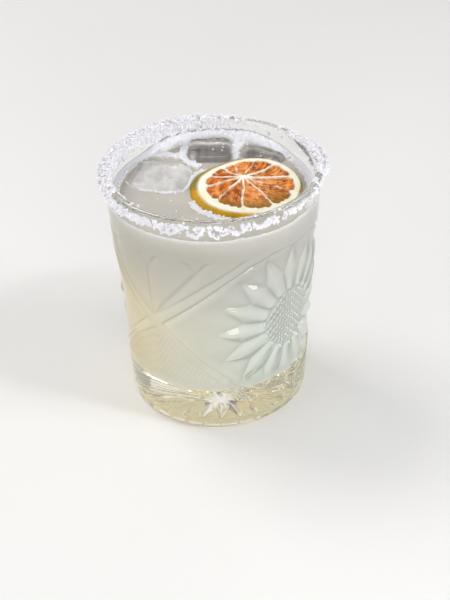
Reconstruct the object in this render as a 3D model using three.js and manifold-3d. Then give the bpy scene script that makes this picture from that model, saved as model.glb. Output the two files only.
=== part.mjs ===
// A margarita in a pressed-glass tumbler with a salted rim: cloudy lime drink, ice and a dried citrus wheel.
// Millimetres, +Z up. The origin is the middle of the underside, and the drinker looks along +Y.
import * as THREE from 'three';
import { mergeVertices } from 'three/addons/utils/BufferGeometryUtils.js';
import Module from 'manifold-3d';

const wasm = await Module();
wasm.setup();

// Driving dimensions
const glassHeight = 106;
const rimRadius = 44.5;
const wallTaper = 0.0655; // outer radius gained per mm of height
const lipThickness = 2.6;
const cavityFloor = 17;
const cavityFloorRadius = 28.8;
const cavityCornerHeight = 7.5;
const cavityTaper = 0.0789;
const footOuterRadius = 35.9;
const footInnerRadius = 27.5;
const drinkLevel = 95.5;
const touchGap = 0.35; // between pieces that touch
const columns = 48; // facets round the glass

// Relief pressed into the outside: two many-pointed stars, with crossed bands between them
const starAzimuth = 49.5; // degrees round from the front, towards +X
const starHeight = 49.5;
const starTipRadius = 36;
const starNotchRadius = 24.5;
const starPoints = 16;
const crossHeight = 52;
const reliefTop = 87;
const reliefBottom = 12;
const outlineDepth = 1.5;
const grooveDepth = 0.8;
const grooveHalfWidth = 1.8;
const mmPerDegree = 0.7156; // along the wall at mid height

const degrees = Math.PI / 180;

function clamp01(value) {
  return Math.min(1, Math.max(0, value));
}

function randomSource(seed) {
  let state = seed >>> 0;
  return () => {
    state = (Math.imul(state, 1664525) + 1013904223) >>> 0;
    return state / 4294967296;
  };
}

// A closed mesh whose equal points are one vertex
class Shell {
  constructor() {
    this.points = [];
    this.faces = [];
    this.known = new Map();
  }

  point(x, y, z) {
    const key = [x, y, z].map((v) => Math.round(v * 2000)).join(',');
    if (!this.known.has(key)) {
      this.known.set(key, this.points.length / 3);
      this.points.push(x, y, z);
    }
    return this.known.get(key);
  }

  polar(azimuth, radius, z) {
    const a = azimuth * degrees;
    return this.point(radius * Math.sin(a), -radius * Math.cos(a), z);
  }

  face(a, b, c) {
    if (a !== b && b !== c && a !== c) this.faces.push(a, b, c);
  }

  // Joins two rings of equal length, the first below or outside the second for faces that look outwards
  band(lower, upper) {
    for (let i = 0; i < lower.length; i += 1) {
      const j = (i + 1) % lower.length;
      this.face(lower[i], lower[j], upper[j]);
      this.face(lower[i], upper[j], upper[i]);
    }
  }

  cap(ring, apex) {
    for (let i = 0; i < ring.length; i += 1) this.face(ring[i], ring[(i + 1) % ring.length], apex);
  }

  geometry() {
    const made = new THREE.BufferGeometry();
    made.setAttribute('position', new THREE.Float32BufferAttribute(this.points, 3));
    made.setIndex(this.faces);
    made.computeVertexNormals();
    return made;
  }
}

function toSolid(geometry) {
  const plain = geometry.clone();
  plain.deleteAttribute('normal');
  plain.deleteAttribute('uv');
  const merged = mergeVertices(plain, 1e-4);
  return new wasm.Manifold(
    new wasm.Mesh({
      numProp: 3,
      vertProperties: new Float32Array(merged.attributes.position.array),
      triVerts: new Uint32Array(merged.index.array),
    }),
  );
}

function toGeometry(solid) {
  const mesh = solid.getMesh();
  const made = new THREE.BufferGeometry();
  made.setAttribute('position', new THREE.BufferAttribute(new Float32Array(mesh.vertProperties), 3));
  made.setIndex(new THREE.BufferAttribute(new Uint32Array(mesh.triVerts), 1));
  made.computeVertexNormals();
  return made;
}

// Outer and inner profile of the tumbler
function wallRadius(z) {
  return rimRadius - (glassHeight - z) * wallTaper;
}

function cavityRadius(z) {
  return rimRadius - lipThickness - (glassHeight - 1.2 - z) * cavityTaper;
}

// Lines of the relief, as [degrees from the cross's axis, height]
const bandHalfHeight = 3.3;
const crossSide = [6, crossHeight];
const crossTop = [0, crossHeight + bandHalfHeight];
const crossFoot = [0, crossHeight - bandHalfHeight];
const upperBandTop = [crossTop, [35, 74.9], [60, reliefTop]];
const upperBandFoot = [crossSide, [29.1, 65.7], [45.8, 75.6], [59.5, 82], [75.9, 85.6], [90, reliefTop]];
const lowerBandTop = [crossSide, [29.1, 36.5], [45.8, 27], [59.5, 19.5], [75.9, 14.6], [90, reliefBottom]];
const lowerBandFoot = [crossFoot, [19.6, 38.6], [38, 26.5], [60, reliefBottom]];
const fanRay = [crossTop, [30, 81]];
const fanNotches = [
  [[22.5, reliefTop], [30, 81], [37.5, reliefTop]],
  [[-7.5, reliefTop], [0, 80], [7.5, reliefTop]],
];

function distanceToLine(azimuth, z, line) {
  let best = Infinity;
  for (let i = 0; i + 1 < line.length; i += 1) {
    const ax = line[i][0] * mmPerDegree;
    const bx = line[i + 1][0] * mmPerDegree;
    const dx = bx - ax;
    const dz = line[i + 1][1] - line[i][1];
    const px = azimuth * mmPerDegree - ax;
    const pz = z - line[i][1];
    const t = clamp01((px * dx + pz * dz) / (dx * dx + dz * dz));
    best = Math.min(best, Math.hypot(px - t * dx, pz - t * dz));
  }
  return best;
}

function heightOfLine(azimuth, line) {
  for (let i = 0; i + 1 < line.length; i += 1) {
    if (azimuth <= line[i + 1][0]) {
      const t = (azimuth - line[i][0]) / (line[i + 1][0] - line[i][0]);
      return line[i][1] + t * (line[i + 1][1] - line[i][1]);
    }
  }
  return line[line.length - 1][1];
}

// Radius of the star's outline at an angle, and how far that angle is from a point's axis, from 0 to 1
function starOutline(angle) {
  const step = (2 * Math.PI) / starPoints;
  const turn = angle / step - Math.round(angle / step);
  const off = Math.abs(turn) * step;
  const half = step / 2;
  const notchX = starNotchRadius * Math.sin(half);
  const notchZ = starNotchRadius * Math.cos(half);
  const slant = notchX * Math.cos(off) + (starTipRadius - notchZ) * Math.sin(off);
  const outline = (starTipRadius * notchX) / slant;
  return { outline, share: off / half };
}

const buttonRadius = 4.5;
const buttonGroove = 6;
const hobRadius = 9.5;
const discRadius = 13.5;
const rayStart = 15.5;
const ridgeEnd = 29; // radius where a point's ridge starts to fall towards its tip
const buttonDepth = 0.3;
const buttonGrooveDepth = 1;
const discEdgeDepth = 1.3;
const ridgeDepth = 0.1;

function between(from, to, share) {
  return from + (to - from) * clamp01(share);
}

function starDepth(radius, angle) {
  const { outline, share } = starOutline(angle);
  if (radius >= outline) return outlineDepth;
  if (radius <= buttonGroove) {
    return between(buttonDepth, buttonGrooveDepth, (radius - buttonRadius) / (buttonGroove - buttonRadius));
  }
  const hobDepth = 0.2 + 0.5 * share;
  if (radius <= hobRadius) {
    return between(buttonGrooveDepth, hobDepth, (radius - buttonGroove) / (hobRadius - buttonGroove));
  }
  if (radius <= discRadius) {
    return between(hobDepth, discEdgeDepth, (radius - hobRadius) / (discRadius - hobRadius));
  }
  const ridge = between(ridgeDepth, outlineDepth, (radius - ridgeEnd) / (starTipRadius - ridgeEnd));
  const inNotches = radius <= starNotchRadius * Math.cos(Math.PI / starPoints);
  const raised = between(ridge, outlineDepth, inNotches ? share : acrossRay(radius, angle));
  return between(discEdgeDepth, raised, (radius - discRadius) / (rayStart - discRadius));
}

// 0 on the axis of a star's point and 1 on its edge, at a radius beyond the notches
function acrossRay(radius, angle) {
  const step = (2 * Math.PI) / starPoints;
  const off = Math.abs(angle / step - Math.round(angle / step)) * step;
  const along = radius * Math.cos(off);
  const side = radius * Math.sin(off);
  const notchX = starNotchRadius * Math.sin(step / 2);
  const notchZ = starNotchRadius * Math.cos(step / 2);
  const beyond = (notchX * (starTipRadius - along)) / (starTipRadius - notchZ);
  const width = along <= notchZ ? along * Math.tan(step / 2) : beyond;
  return width <= 0 ? 1 : side / width;
}

const rayHalfWidth = 2.4;
const panelDepth = 0.35; // of the panel below the cross
const panelFade = 3;

function groove(distance, depth, halfWidth) {
  return depth * clamp01(1 - distance / halfWidth);
}

// How deep the wall is cut at a place, in mm. The azimuth is in degrees from the cross's axis, from 0 to 90.
function reliefDepth(azimuth, z) {
  const x = (azimuth - 90) * mmPerDegree;
  const radius = Math.hypot(x, z - starHeight);
  const angle = Math.atan2(x, z - starHeight);
  if (radius < starOutline(angle).outline) return starDepth(radius, angle);
  const top = heightOfLine(azimuth, upperBandTop);
  const foot = heightOfLine(azimuth, lowerBandFoot);
  const inner = azimuth < crossSide[0] ? crossHeight : heightOfLine(azimuth, upperBandFoot);
  const lower = azimuth < crossSide[0] ? crossHeight : heightOfLine(azimuth, lowerBandTop);
  const topGroove = groove(distanceToLine(azimuth, z, upperBandTop), grooveDepth, grooveHalfWidth);
  const footGroove = groove(distanceToLine(azimuth, z, lowerBandFoot), grooveDepth, grooveHalfWidth);
  if (azimuth >= crossSide[0] && z < inner && z > lower) {
    const toBands = [upperBandFoot, lowerBandTop].map((line) => distanceToLine(azimuth, z, line));
    const fromBand = Math.min(...toBands);
    const fromStar = Math.max(0, radius - starOutline(angle).outline);
    return 0.1 + (outlineDepth - 0.1) * clamp01(fromBand / (fromBand + fromStar + 1e-6));
  }
  if (z > top && azimuth < 60) {
    const rays = Math.min(distanceToLine(azimuth, z, fanRay), azimuth * mmPerDegree + (z > 80 ? 9 : 0));
    const notches = Math.min(...fanNotches.map((line) => distanceToLine(azimuth, z, line)));
    const notchGroove = groove(notches, grooveDepth * 0.8, grooveHalfWidth);
    return Math.max(topGroove, groove(rays, grooveDepth, rayHalfWidth), notchGroove);
  }
  if (z < foot && azimuth < 60) {
    const fromEdges = clamp01((foot - z) / panelFade) * clamp01((z - reliefBottom) / panelFade);
    return Math.max(footGroove, panelDepth * fromEdges);
  }
  return Math.max(topGroove, footGroove);
}

function insideShape(x, y, contour) {
  let inside = false;
  for (let i = 0, j = contour.length - 1; i < contour.length; j = i, i += 1) {
    const a = contour[i];
    const b = contour[j];
    if (a.y > y !== b.y > y && x < ((b.x - a.x) * (y - a.y)) / (b.y - a.y) + a.x) inside = !inside;
  }
  return inside;
}

function nearestEdge(x, y, contour) {
  let best = Infinity;
  for (let i = 0; i < contour.length; i += 1) {
    const a = contour[i];
    const b = contour[(i + 1) % contour.length];
    const dx = b.x - a.x;
    const dy = b.y - a.y;
    const t = clamp01(((x - a.x) * dx + (y - a.y) * dy) / (dx * dx + dy * dy));
    best = Math.min(best, Math.hypot(x - a.x - t * dx, y - a.y - t * dy));
  }
  return best;
}

// Long edges of a cell are cut into equal steps. They are bowed by a hair while the triangles are found,
// so that no point on them is dropped.
const edgeStep = 6.2;
const hair = 0.04;

function cellContour(corners, fixed) {
  const places = [];
  const contour = [];
  const add = (azimuth, z, dx, dz) => {
    places.push([azimuth, z]);
    contour.push(new THREE.Vector2(azimuth * mmPerDegree + dx, z + dz));
  };
  corners.forEach((from, i) => {
    const to = corners[(i + 1) % corners.length];
    const dx = (to[0] - from[0]) * mmPerDegree;
    const dz = to[1] - from[1];
    const length = Math.hypot(dx, dz);
    const onRow = dz === 0 && (from[1] === reliefTop || from[1] === reliefBottom);
    const whole = onRow || fixed.some(([a, b]) => a === from && b === to);
    const steps = whole ? 1 : Math.max(1, Math.round(length / edgeStep));
    for (let k = 0; k < steps; k += 1) {
      const t = k / steps;
      const bow = (hair * 4 * t * (1 - t)) / length;
      add(from[0] + t * (to[0] - from[0]), from[1] + t * dz, -bow * dz, bow * dx);
    }
  });
  for (const row of [reliefTop, reliefBottom]) {
    const onRow = places.filter((p) => p[1] === row).map((p) => p[0]);
    const low = Math.min(...onRow);
    const high = Math.max(...onRow);
    places.forEach((p, i) => {
      const t = p[1] === row && high > low ? (p[0] - low) / (high - low) : 0;
      contour[i].y += (row === reliefTop ? -4 : 4) * hair * t * (1 - t);
    });
  }
  return { places, contour };
}

// Turns the shared edge of two triangles where that makes them less thin
function flipThinTriangles(points, triangles) {
  const area = (a, b, c) => points[b].clone().sub(points[a]).cross(points[c].clone().sub(points[a]));
  const angleAt = (a, b, c) => {
    const u = points[b].clone().sub(points[a]);
    const v = points[c].clone().sub(points[a]);
    return Math.abs(u.angleTo(v));
  };
  for (let pass = 0; pass < 12; pass += 1) {
    let flipped = false;
    const owner = new Map();
    triangles.forEach((t, i) => t.forEach((a, k) => owner.set(`${a} ${t[(k + 1) % 3]}`, i)));
    for (let i = 0; i < triangles.length; i += 1) {
      for (let k = 0; k < 3; k += 1) {
        const [a, b, c] = [0, 1, 2].map((m) => triangles[i][(k + m) % 3]);
        const other = owner.get(`${b} ${a}`);
        if (other === undefined) continue;
        const d = triangles[other].find((v) => v !== a && v !== b);
        const open = angleAt(c, a, b) + angleAt(d, a, b) > Math.PI + 1e-3;
        if (!open || area(c, a, d) < 1e-3 || area(d, b, c) < 1e-3) continue;
        triangles[i] = [c, a, d];
        triangles[other] = [d, b, c];
        flipped = true;
        owner.clear();
        triangles.forEach((t, n) => t.forEach((v, m) => owner.set(`${v} ${t[(m + 1) % 3]}`, n)));
        break;
      }
    }
    if (!flipped) return;
  }
}

// Cuts one cell of the relief, whose corners go anticlockwise as [degrees, height], into triangles
function cutCell(corners, spacing, fixed = []) {
  const { places, contour } = cellContour(corners, fixed);
  const random = randomSource(corners.length);
  const inner = [];
  for (let x = -90 * mmPerDegree; x < 91 * mmPerDegree; x += spacing) {
    for (let y = reliefBottom; y < reliefTop; y += spacing) {
      const shift = (Math.round((y - reliefBottom) / spacing) % 2) * spacing * 0.5;
      const place = new THREE.Vector2(x + shift + random() * 0.8, y + random() * 0.8);
      const inside = insideShape(place.x, place.y, contour);
      if (inside && nearestEdge(place.x, place.y, contour) > spacing * 0.42) inner.push(place);
    }
  }
  inner.forEach((p) => places.push([p.x / mmPerDegree, p.y]));
  const triangles = THREE.ShapeUtils.triangulateShape(contour, inner.map((p) => [p]));
  flipThinTriangles([...contour, ...inner], triangles);
  return { places, triangles };
}

function rowBetween(from, to, z) {
  const row = [];
  const step = 360 / columns;
  const sign = Math.sign(to - from);
  for (let a = from + sign * step; sign * a < sign * to - 1e-6; a += sign * step) row.push([a, z]);
  return row;
}

function starVertex(k, radius) {
  const angle = (-k * Math.PI) / starPoints;
  return [90 + (radius * Math.sin(angle)) / mmPerDegree, starHeight + radius * Math.cos(angle)];
}

// Cells of the half of the pattern from the cross's axis to the star's axis
function halfCells() {
  const outline = [];
  for (let k = starPoints; k >= 0; k -= 1) {
    outline.push(starVertex(k, k % 2 ? starNotchRadius : starTipRadius));
  }
  outline[0][0] = 90;
  outline[outline.length - 1][0] = 90;
  const fixed = outline.slice(0, -1).map((p, i) => [p, outline[i + 1]]);
  const back = (line) => [...line].reverse();
  const notch = fanRay[1];
  const middleNotch = [0, 80];
  return [
    cutCell([...lowerBandTop, ...outline, ...back(upperBandFoot).slice(0, -1)], 6.5, fixed),
    cutCell([...upperBandFoot, ...rowBetween(90, 60, reliefTop), ...back(upperBandTop)], 9),
    cutCell([...lowerBandFoot, ...rowBetween(60, 90, reliefBottom), ...back(lowerBandTop)], 9),
    cutCell([...upperBandTop, ...rowBetween(60, 37.5, reliefTop), [37.5, reliefTop], notch], 7),
    cutCell([crossTop, notch, [22.5, reliefTop], [15, reliefTop], [7.5, reliefTop], middleNotch], 7),
    cutCell([notch, [37.5, reliefTop], [30, reliefTop], [22.5, reliefTop]], 40),
    cutCell([middleNotch, [7.5, reliefTop], [0, reliefTop]], 40),
    cutCell([[0, reliefBottom], ...rowBetween(0, 60, reliefBottom), ...back(lowerBandFoot)], 7),
    cutCell([crossFoot, crossSide, crossTop], 40),
  ];
}

function addRelief(shell) {
  const cells = halfCells();
  const crossAzimuth = starAzimuth - 90;
  const vertex = (axis, azimuth, z) =>
    shell.polar(axis + azimuth, wallRadius(z) - reliefDepthAt(azimuth, z), z);
  for (const axis of [crossAzimuth, crossAzimuth + 180]) {
    for (const { places, triangles } of cells) {
      for (const [a, b, c] of triangles) {
        const at = (i, sign) => vertex(axis, sign * places[i][0], places[i][1]);
        shell.face(at(a, 1), at(b, 1), at(c, 1));
        shell.face(at(a, -1), at(c, -1), at(b, -1));
      }
    }
    addStar(shell, axis, vertex);
  }
}

// Depth at a vertex. The pattern is its own mirror image at the cross's axis and at the star's, and the rows
// above and below it lie on the plain wall.
function reliefDepthAt(azimuth, z) {
  if (z >= reliefTop - 1e-6 || z <= reliefBottom + 1e-6) return 0;
  const turn = Math.abs(azimuth);
  const folded = turn > 90 ? 180 - turn : turn;
  return reliefDepth(Number(folded.toFixed(4)), Number(z.toFixed(4)));
}

function addStar(shell, axis, vertex) {
  const ring = (radius) =>
    Array.from({ length: 2 * starPoints }, (_, k) => {
      const [azimuth, z] = starVertex(k, radius);
      return vertex(axis, azimuth, z);
    });
  const rings = [buttonRadius, buttonGroove, hobRadius, discRadius, rayStart].map(ring);
  const edge = ring(starNotchRadius);
  const middle = vertex(axis, 90, starHeight);
  shell.cap(rings[0], middle);
  for (let i = 0; i + 1 < rings.length; i += 1) shell.band(rings[i + 1], rings[i]);
  shell.band(edge, rings[rings.length - 1]);
  for (let k = 0; k < 2 * starPoints; k += 2) {
    const [azimuth, z] = starVertex(k, starTipRadius);
    const tip = vertex(axis, azimuth, z);
    const before = edge[(k + 2 * starPoints - 1) % (2 * starPoints)];
    const after = edge[k + 1];
    shell.face(tip, edge[k], before);
    shell.face(tip, after, edge[k]);
  }
}

function ringAt(shell, radius, z) {
  const offset = starAzimuth - 90;
  return Array.from({ length: columns }, (_, i) => shell.polar(offset + (i * 360) / columns, radius, z));
}

// Underside: a flat foot ring round a recess with radial cuts
const recessHeight = 0.8;
const recessCutHeight = 2.3;

function tumblerGeometry() {
  const shell = new Shell();
  const heel = [[footOuterRadius, 0], [36.9, 0.7], [37.5, 2], [37.85, 4.4]];
  for (const z of [8, reliefBottom]) heel.push([wallRadius(z), z]);
  const rows = heel.map(([radius, z]) => ringAt(shell, radius, z));
  for (let i = 0; i + 1 < rows.length; i += 1) shell.band(rows[i], rows[i + 1]);
  addRelief(shell);
  const lipTop = glassHeight;
  const upper = [
    [wallRadius(reliefTop), reliefTop],
    [wallRadius(96), 96],
    [rimRadius - 0.08, lipTop - 1.2],
    [rimRadius - 0.45, lipTop - 0.3],
    [rimRadius - lipThickness / 2, lipTop],
    [rimRadius - lipThickness + 0.4, lipTop - 0.3],
    [rimRadius - lipThickness, lipTop - 1.2],
    ...[94, 82, 68, 54, 40, cavityFloor + cavityCornerHeight].map((z) => [cavityRadius(z), z]),
  ];
  const cornerRadius = cavityRadius(cavityFloor + cavityCornerHeight) - cavityFloorRadius;
  for (const turn of [30, 60, 90]) {
    upper.push([
      cavityFloorRadius + cornerRadius * Math.cos(turn * degrees),
      cavityFloor + cavityCornerHeight * (1 - Math.sin(turn * degrees)),
    ]);
  }
  upper.push([14, cavityFloor]);
  const high = upper.map(([radius, z]) => ringAt(shell, radius, z));
  for (let i = 0; i + 1 < high.length; i += 1) shell.band(high[i], high[i + 1]);
  shell.cap(high[high.length - 1], shell.point(0, 0, cavityFloor));
  addUnderside(shell, rows[0]);
  return shell.geometry();
}

function addUnderside(shell, foot) {
  const offset = starAzimuth - 90;
  const ring = (radius, high, cut) =>
    Array.from({ length: columns }, (_, i) => {
      return shell.polar(offset + (i * 360) / columns, radius, i % 2 ? cut : high);
    });
  const rings = [
    foot,
    ring(footInnerRadius, 0, 0),
    ring(footInnerRadius - 0.9, recessHeight, recessHeight),
    ring(23.5, recessHeight, recessCutHeight),
    ring(11, recessHeight, 1.9),
    ring(2.5, 1, 1),
  ];
  for (let i = 0; i + 1 < rings.length; i += 1) shell.band(rings[i + 1], rings[i]);
  shell.cap(rings[rings.length - 1].slice().reverse(), shell.point(0, 0, 1));
}

// Salt crust: a hooked band over the lip, thick and crumbly where the rim was dipped, thin towards its ends
const saltStart = -186; // degrees from the front; the rim is bare from here back to saltEnd
const saltEnd = 127;
const saltStations = 150;

// [azimuth, outer drop, outer thickness, top thickness, inner drop, inner thickness] in degrees and mm
const saltPlan = [
  [-186, 2.2, 0.8, 0.7, 3.0, 0.7],
  [-178, 3.6, 1.6, 1.1, 7.0, 1.4],
  [-150, 4.0, 1.7, 1.3, 8.4, 1.7],
  [-110, 4.6, 2.0, 1.3, 8.0, 1.6],
  [-90, 5.6, 2.3, 1.2, 6.4, 1.4],
  [-60, 6.2, 1.9, 1.1, 4.6, 1.1],
  [-20, 6.4, 1.7, 1.0, 3.2, 0.9],
  [15, 6.2, 1.5, 0.9, 2.8, 0.8],
  [50, 4.8, 1.2, 0.8, 2.4, 0.7],
  [78, 3.6, 1.2, 0.6, 2.2, 0.6],
  [94, 7.0, 2.6, 0.7, 2.2, 0.6],
  [112, 6.6, 2.7, 0.7, 2.2, 0.6],
  [127, 2.6, 0.8, 0.5, 2.0, 0.5],
];

function saltAt(azimuth) {
  let i = 0;
  while (i + 2 < saltPlan.length && azimuth > saltPlan[i + 1][0]) i += 1;
  const t = clamp01((azimuth - saltPlan[i][0]) / (saltPlan[i + 1][0] - saltPlan[i][0]));
  return saltPlan[i].map((value, k) => value + t * (saltPlan[i + 1][k] - value));
}

function saltGeometry() {
  const random = randomSource(7);
  const shell = new Shell();
  const outerFace = rimRadius + touchGap;
  const innerFace = (z) => cavityRadius(z) - touchGap - 0.12;
  const topFace = glassHeight + touchGap;
  const middle = rimRadius - lipThickness / 2;
  const sections = [];
  for (let i = 0; i <= saltStations; i += 1) {
    const azimuth = saltStart + ((saltEnd - saltStart) * i) / saltStations;
    const [, outerDrop, outerThick, topThick, innerDrop, innerThick] = saltAt(azimuth);
    const bump = (size) => (random() - 0.35) * size;
    const outerFoot = glassHeight - outerDrop - bump(2.6);
    const innerFoot = glassHeight - innerDrop - bump(2.8);
    const profile = [
      [outerFace, outerFoot],
      [outerFace, glassHeight - 0.4],
      [middle + 0.5, topFace],
      [middle - 0.6, topFace],
      [innerFace(glassHeight - 1.2), glassHeight - 0.7],
      [innerFace(innerFoot), innerFoot],
      [innerFace(innerFoot) - innerThick * 0.7 - bump(0.6), innerFoot + 0.9],
      [innerFace(innerFoot) - innerThick - bump(0.8), glassHeight - 0.45 * innerDrop],
      [innerFace(glassHeight) - innerThick * 0.6 - bump(0.5), glassHeight + 0.2],
      [middle - 0.5, topFace + topThick + bump(0.6)],
      [middle + 1.1, topFace + topThick * 0.7 + bump(0.6)],
      [outerFace + outerThick + bump(0.9), glassHeight - 0.4 * outerDrop],
      [outerFace + outerThick * 0.6 + bump(0.8), outerFoot + 0.8],
    ];
    sections.push(profile.map(([radius, z]) => shell.polar(azimuth, radius, z)));
  }
  for (let i = 0; i + 1 < sections.length; i += 1) shell.band(sections[i], sections[i + 1]);
  closeEnd(shell, sections[0], false);
  closeEnd(shell, sections[sections.length - 1], true);
  return shell.geometry();
}

// Closes one end of the hooked band with a strip of triangles between its glass side and its outer side
function closeEnd(shell, section, last) {
  const glassSide = section.slice(0, 6);
  const saltSide = section.slice(6).reverse();
  const closing = [];
  for (let i = 0; i + 1 < glassSide.length; i += 1) {
    const outer = saltSide[Math.min(i, saltSide.length - 1)];
    const next = saltSide[Math.min(i + 1, saltSide.length - 1)];
    closing.push([glassSide[i], glassSide[i + 1], outer]);
    if (next !== outer) closing.push([glassSide[i + 1], next, outer]);
  }
  const first = saltSide.slice(glassSide.length - 1);
  for (let i = 0; i + 1 < first.length; i += 1) closing.push([glassSide[5], first[i + 1], first[i]]);
  closing.forEach(([a, b, c]) => (last ? shell.face(a, b, c) : shell.face(a, c, b)));
}

// Dried citrus wheel, floating. It comes from beside the fruit's middle, so its cut face is narrower than its
// rind. The face lies off the rind's middle and leans a little towards the front.
const wheelCentre = [13.5, -2.5];
const wheelHeight = 97.9; // top of the pith above the wheel's middle
const wheelSlope = 0.04; // height gained per mm towards the back
const wheelRadius = 22.9;
const wheelFaceRadius = 20.6;
const wheelThickness = 4.6;
const faceShift = [1.4, -0.9];
const coreOffset = [-2.4, 7.0];
const segmentEdges = [8, 38, 74, 107, 146, 188, 232, 271, 296, 322, 340]; // degrees of the membranes

function wheelGeometry() {
  const random = randomSource(21);
  const shell = new Shell();
  const spokes = [];
  segmentEdges.forEach((edge, i) => {
    const next = i + 1 < segmentEdges.length ? segmentEdges[i + 1] : segmentEdges[0] + 360;
    const width = next - edge;
    [[0, 0], [0.14, 1], [0.38, 1], [0.62, 1], [0.86, 1]].forEach(([t, flesh]) => {
      spokes.push({ angle: edge + t * width, flesh, sink: 0.55 + 0.7 * random() });
    });
  });
  const warp = (angle) => 0.35 * Math.sin(2 * angle * degrees + 0.7) + 0.2 * Math.sin(3 * angle * degrees);
  const lumps = (angle) =>
    1 + 0.012 * Math.sin(3 * angle * degrees) + 0.01 * Math.sin(5 * angle * degrees + 1);
  const place = (x, y, height) => shell.point(x, y, wheelHeight + wheelSlope * (y - wheelCentre[1]) + height);
  // onFace is 1 for rings of the cut face and 0 for those of the rind; share is 1 at the edge, 0 at the core
  const ring = (onFace, share, radius, height) =>
    spokes.map((spoke) => {
      const a = spoke.angle * degrees;
      const r = radius * lumps(spoke.angle);
      const middle = [0, 1].map((i) => wheelCentre[i] + faceShift[i] * onFace + coreOffset[i] * (1 - share));
      const high = height(spoke) + share * warp(spoke.angle);
      return place(middle[0] + r * Math.sin(a), middle[1] + r * Math.cos(a), high);
    });
  const fleshTop = (depth) => (spoke) => (spoke.flesh ? -depth * spoke.sink : 0.25);
  const rings = [
    ring(0, 1, wheelFaceRadius - 1.2, () => -wheelThickness),
    ring(0, 1, wheelRadius - 0.2, () => -wheelThickness + 0.8),
    ring(0, 1, wheelRadius, () => -1.9),
    ring(0.6, 1, wheelFaceRadius + 1.1, () => -0.6),
    ring(1, 1, wheelFaceRadius, () => 0.25),
    ring(1, 0.98, wheelFaceRadius - 2.1, () => 0.2),
    ring(1, 0.93, wheelFaceRadius - 3, fleshTop(1.1)),
    ring(1, 0.66, wheelFaceRadius * 0.62, fleshTop(1.35)),
    ring(1, 0.32, wheelFaceRadius * 0.3, fleshTop(0.8)),
    ring(1, 0.08, wheelFaceRadius * 0.09, () => 0.3),
  ];
  for (let i = 0; i + 1 < rings.length; i += 1) shell.band(rings[i + 1], rings[i]);
  const core = [0, 1].map((axis) => wheelCentre[axis] + faceShift[axis] + coreOffset[axis]);
  shell.cap(rings[rings.length - 1].slice().reverse(), place(...core, 0.35));
  shell.cap(rings[0], place(...wheelCentre, -wheelThickness));
  return shell.geometry();
}

// Ice: melted cubes with rounded edges. Each is [name, centre, size, turn in degrees, lean in degrees].
const iceCubes = [
  ['ice_left', [-21.4, 10.6, 86.9], [25, 23, 22], -13, 2],
  ['ice_back', [-1.0, 29.4, 91.3], [19, 15, 18], -3, 3],
  ['ice_right', [21.7, 25.5, 91.1], [19, 9.5, 13.5], -33, 4],
];

function iceGeometry(size, grow) {
  const box = new THREE.BoxGeometry(1, 1, 1, 4, 4, 4);
  const roundness = 5.5;
  const position = box.attributes.position;
  for (let i = 0; i < position.count; i += 1) {
    const p = new THREE.Vector3().fromBufferAttribute(position, i);
    const q = [p.x, p.y, p.z].map((v) => Math.sign(v) * Math.abs(Math.sin(v * Math.PI)) ** 0.9);
    const norm = q.reduce((sum, v) => sum + Math.abs(v) ** roundness, 0) ** (1 / roundness);
    const half = size.map((s) => s / 2 + grow);
    position.setXYZ(i, (q[0] / norm) * half[0], (q[1] / norm) * half[1], (q[2] / norm) * half[2]);
  }
  box.deleteAttribute('normal');
  box.deleteAttribute('uv');
  const merged = mergeVertices(box, 1e-4);
  merged.computeVertexNormals();
  return merged;
}

function placeIce(object, [, centre, , turn, lean]) {
  object.position.set(...centre);
  object.rotation.set(lean * degrees, 0, turn * degrees, 'ZYX');
  object.updateMatrix();
  return object;
}

// Drink: fills the cavity to its level, with foam up the wall, and is cut round the ice and the wheel
const foamHeight = 1.1;
const foamWidth = 3.6;

function drinkGeometry() {
  const shell = new Shell();
  const cornerFoot = cavityFloor + cavityCornerHeight;
  const cornerRadius = cavityRadius(cornerFoot) - cavityFloorRadius;
  const profile = [[cavityFloorRadius - 0.2, cavityFloor + touchGap]];
  for (const turn of [60, 30]) {
    profile.push([
      cavityFloorRadius - touchGap + cornerRadius * Math.cos(turn * degrees),
      cavityFloor + touchGap + cavityCornerHeight * (1 - Math.sin(turn * degrees)),
    ]);
  }
  for (const z of [cornerFoot, 54, drinkLevel + foamHeight]) profile.push([cavityRadius(z) - touchGap, z]);
  const wall = cavityRadius(drinkLevel) - touchGap;
  profile.push([wall - foamWidth * 0.6, drinkLevel + foamHeight * 0.8]);
  profile.push([wall - foamWidth, drinkLevel], [20, drinkLevel]);
  const rings = profile.map(([radius, z]) => ringAt(shell, radius, z));
  for (let i = 0; i + 1 < rings.length; i += 1) shell.band(rings[i], rings[i + 1]);
  shell.cap(rings[rings.length - 1], shell.point(0, 0, drinkLevel));
  shell.cap(rings[0].slice().reverse(), shell.point(0, 0, cavityFloor + touchGap));
  let body = toSolid(shell.geometry());
  for (const cube of iceCubes) {
    const pocket = placeIce(new THREE.Object3D(), cube);
    body = body.subtract(toSolid(iceGeometry(cube[2], touchGap).applyMatrix4(pocket.matrix)));
  }
  body = body.subtract(toSolid(wheelPocket()));
  return toGeometry(body);
}

function wheelPocket() {
  const sides = 28;
  const shell = new Shell();
  const ring = (radius, z) =>
    Array.from({ length: sides }, (_, i) => {
      const a = (i * 2 * Math.PI) / sides;
      return shell.point(wheelCentre[0] + radius * Math.cos(a), wheelCentre[1] + radius * Math.sin(a), z);
    });
  const warped = 0.55;
  const foot = wheelHeight - wheelThickness - wheelSlope * wheelRadius - warped - touchGap;
  const low = ring(wheelRadius + touchGap + 0.8, foot);
  const high = ring(wheelRadius + touchGap + 0.8, drinkLevel + 6);
  shell.band(low, high);
  shell.cap(high, shell.point(wheelCentre[0], wheelCentre[1], drinkLevel + 6));
  shell.cap(low.slice().reverse(), shell.point(wheelCentre[0], wheelCentre[1], foot));
  return shell.geometry();
}

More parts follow.
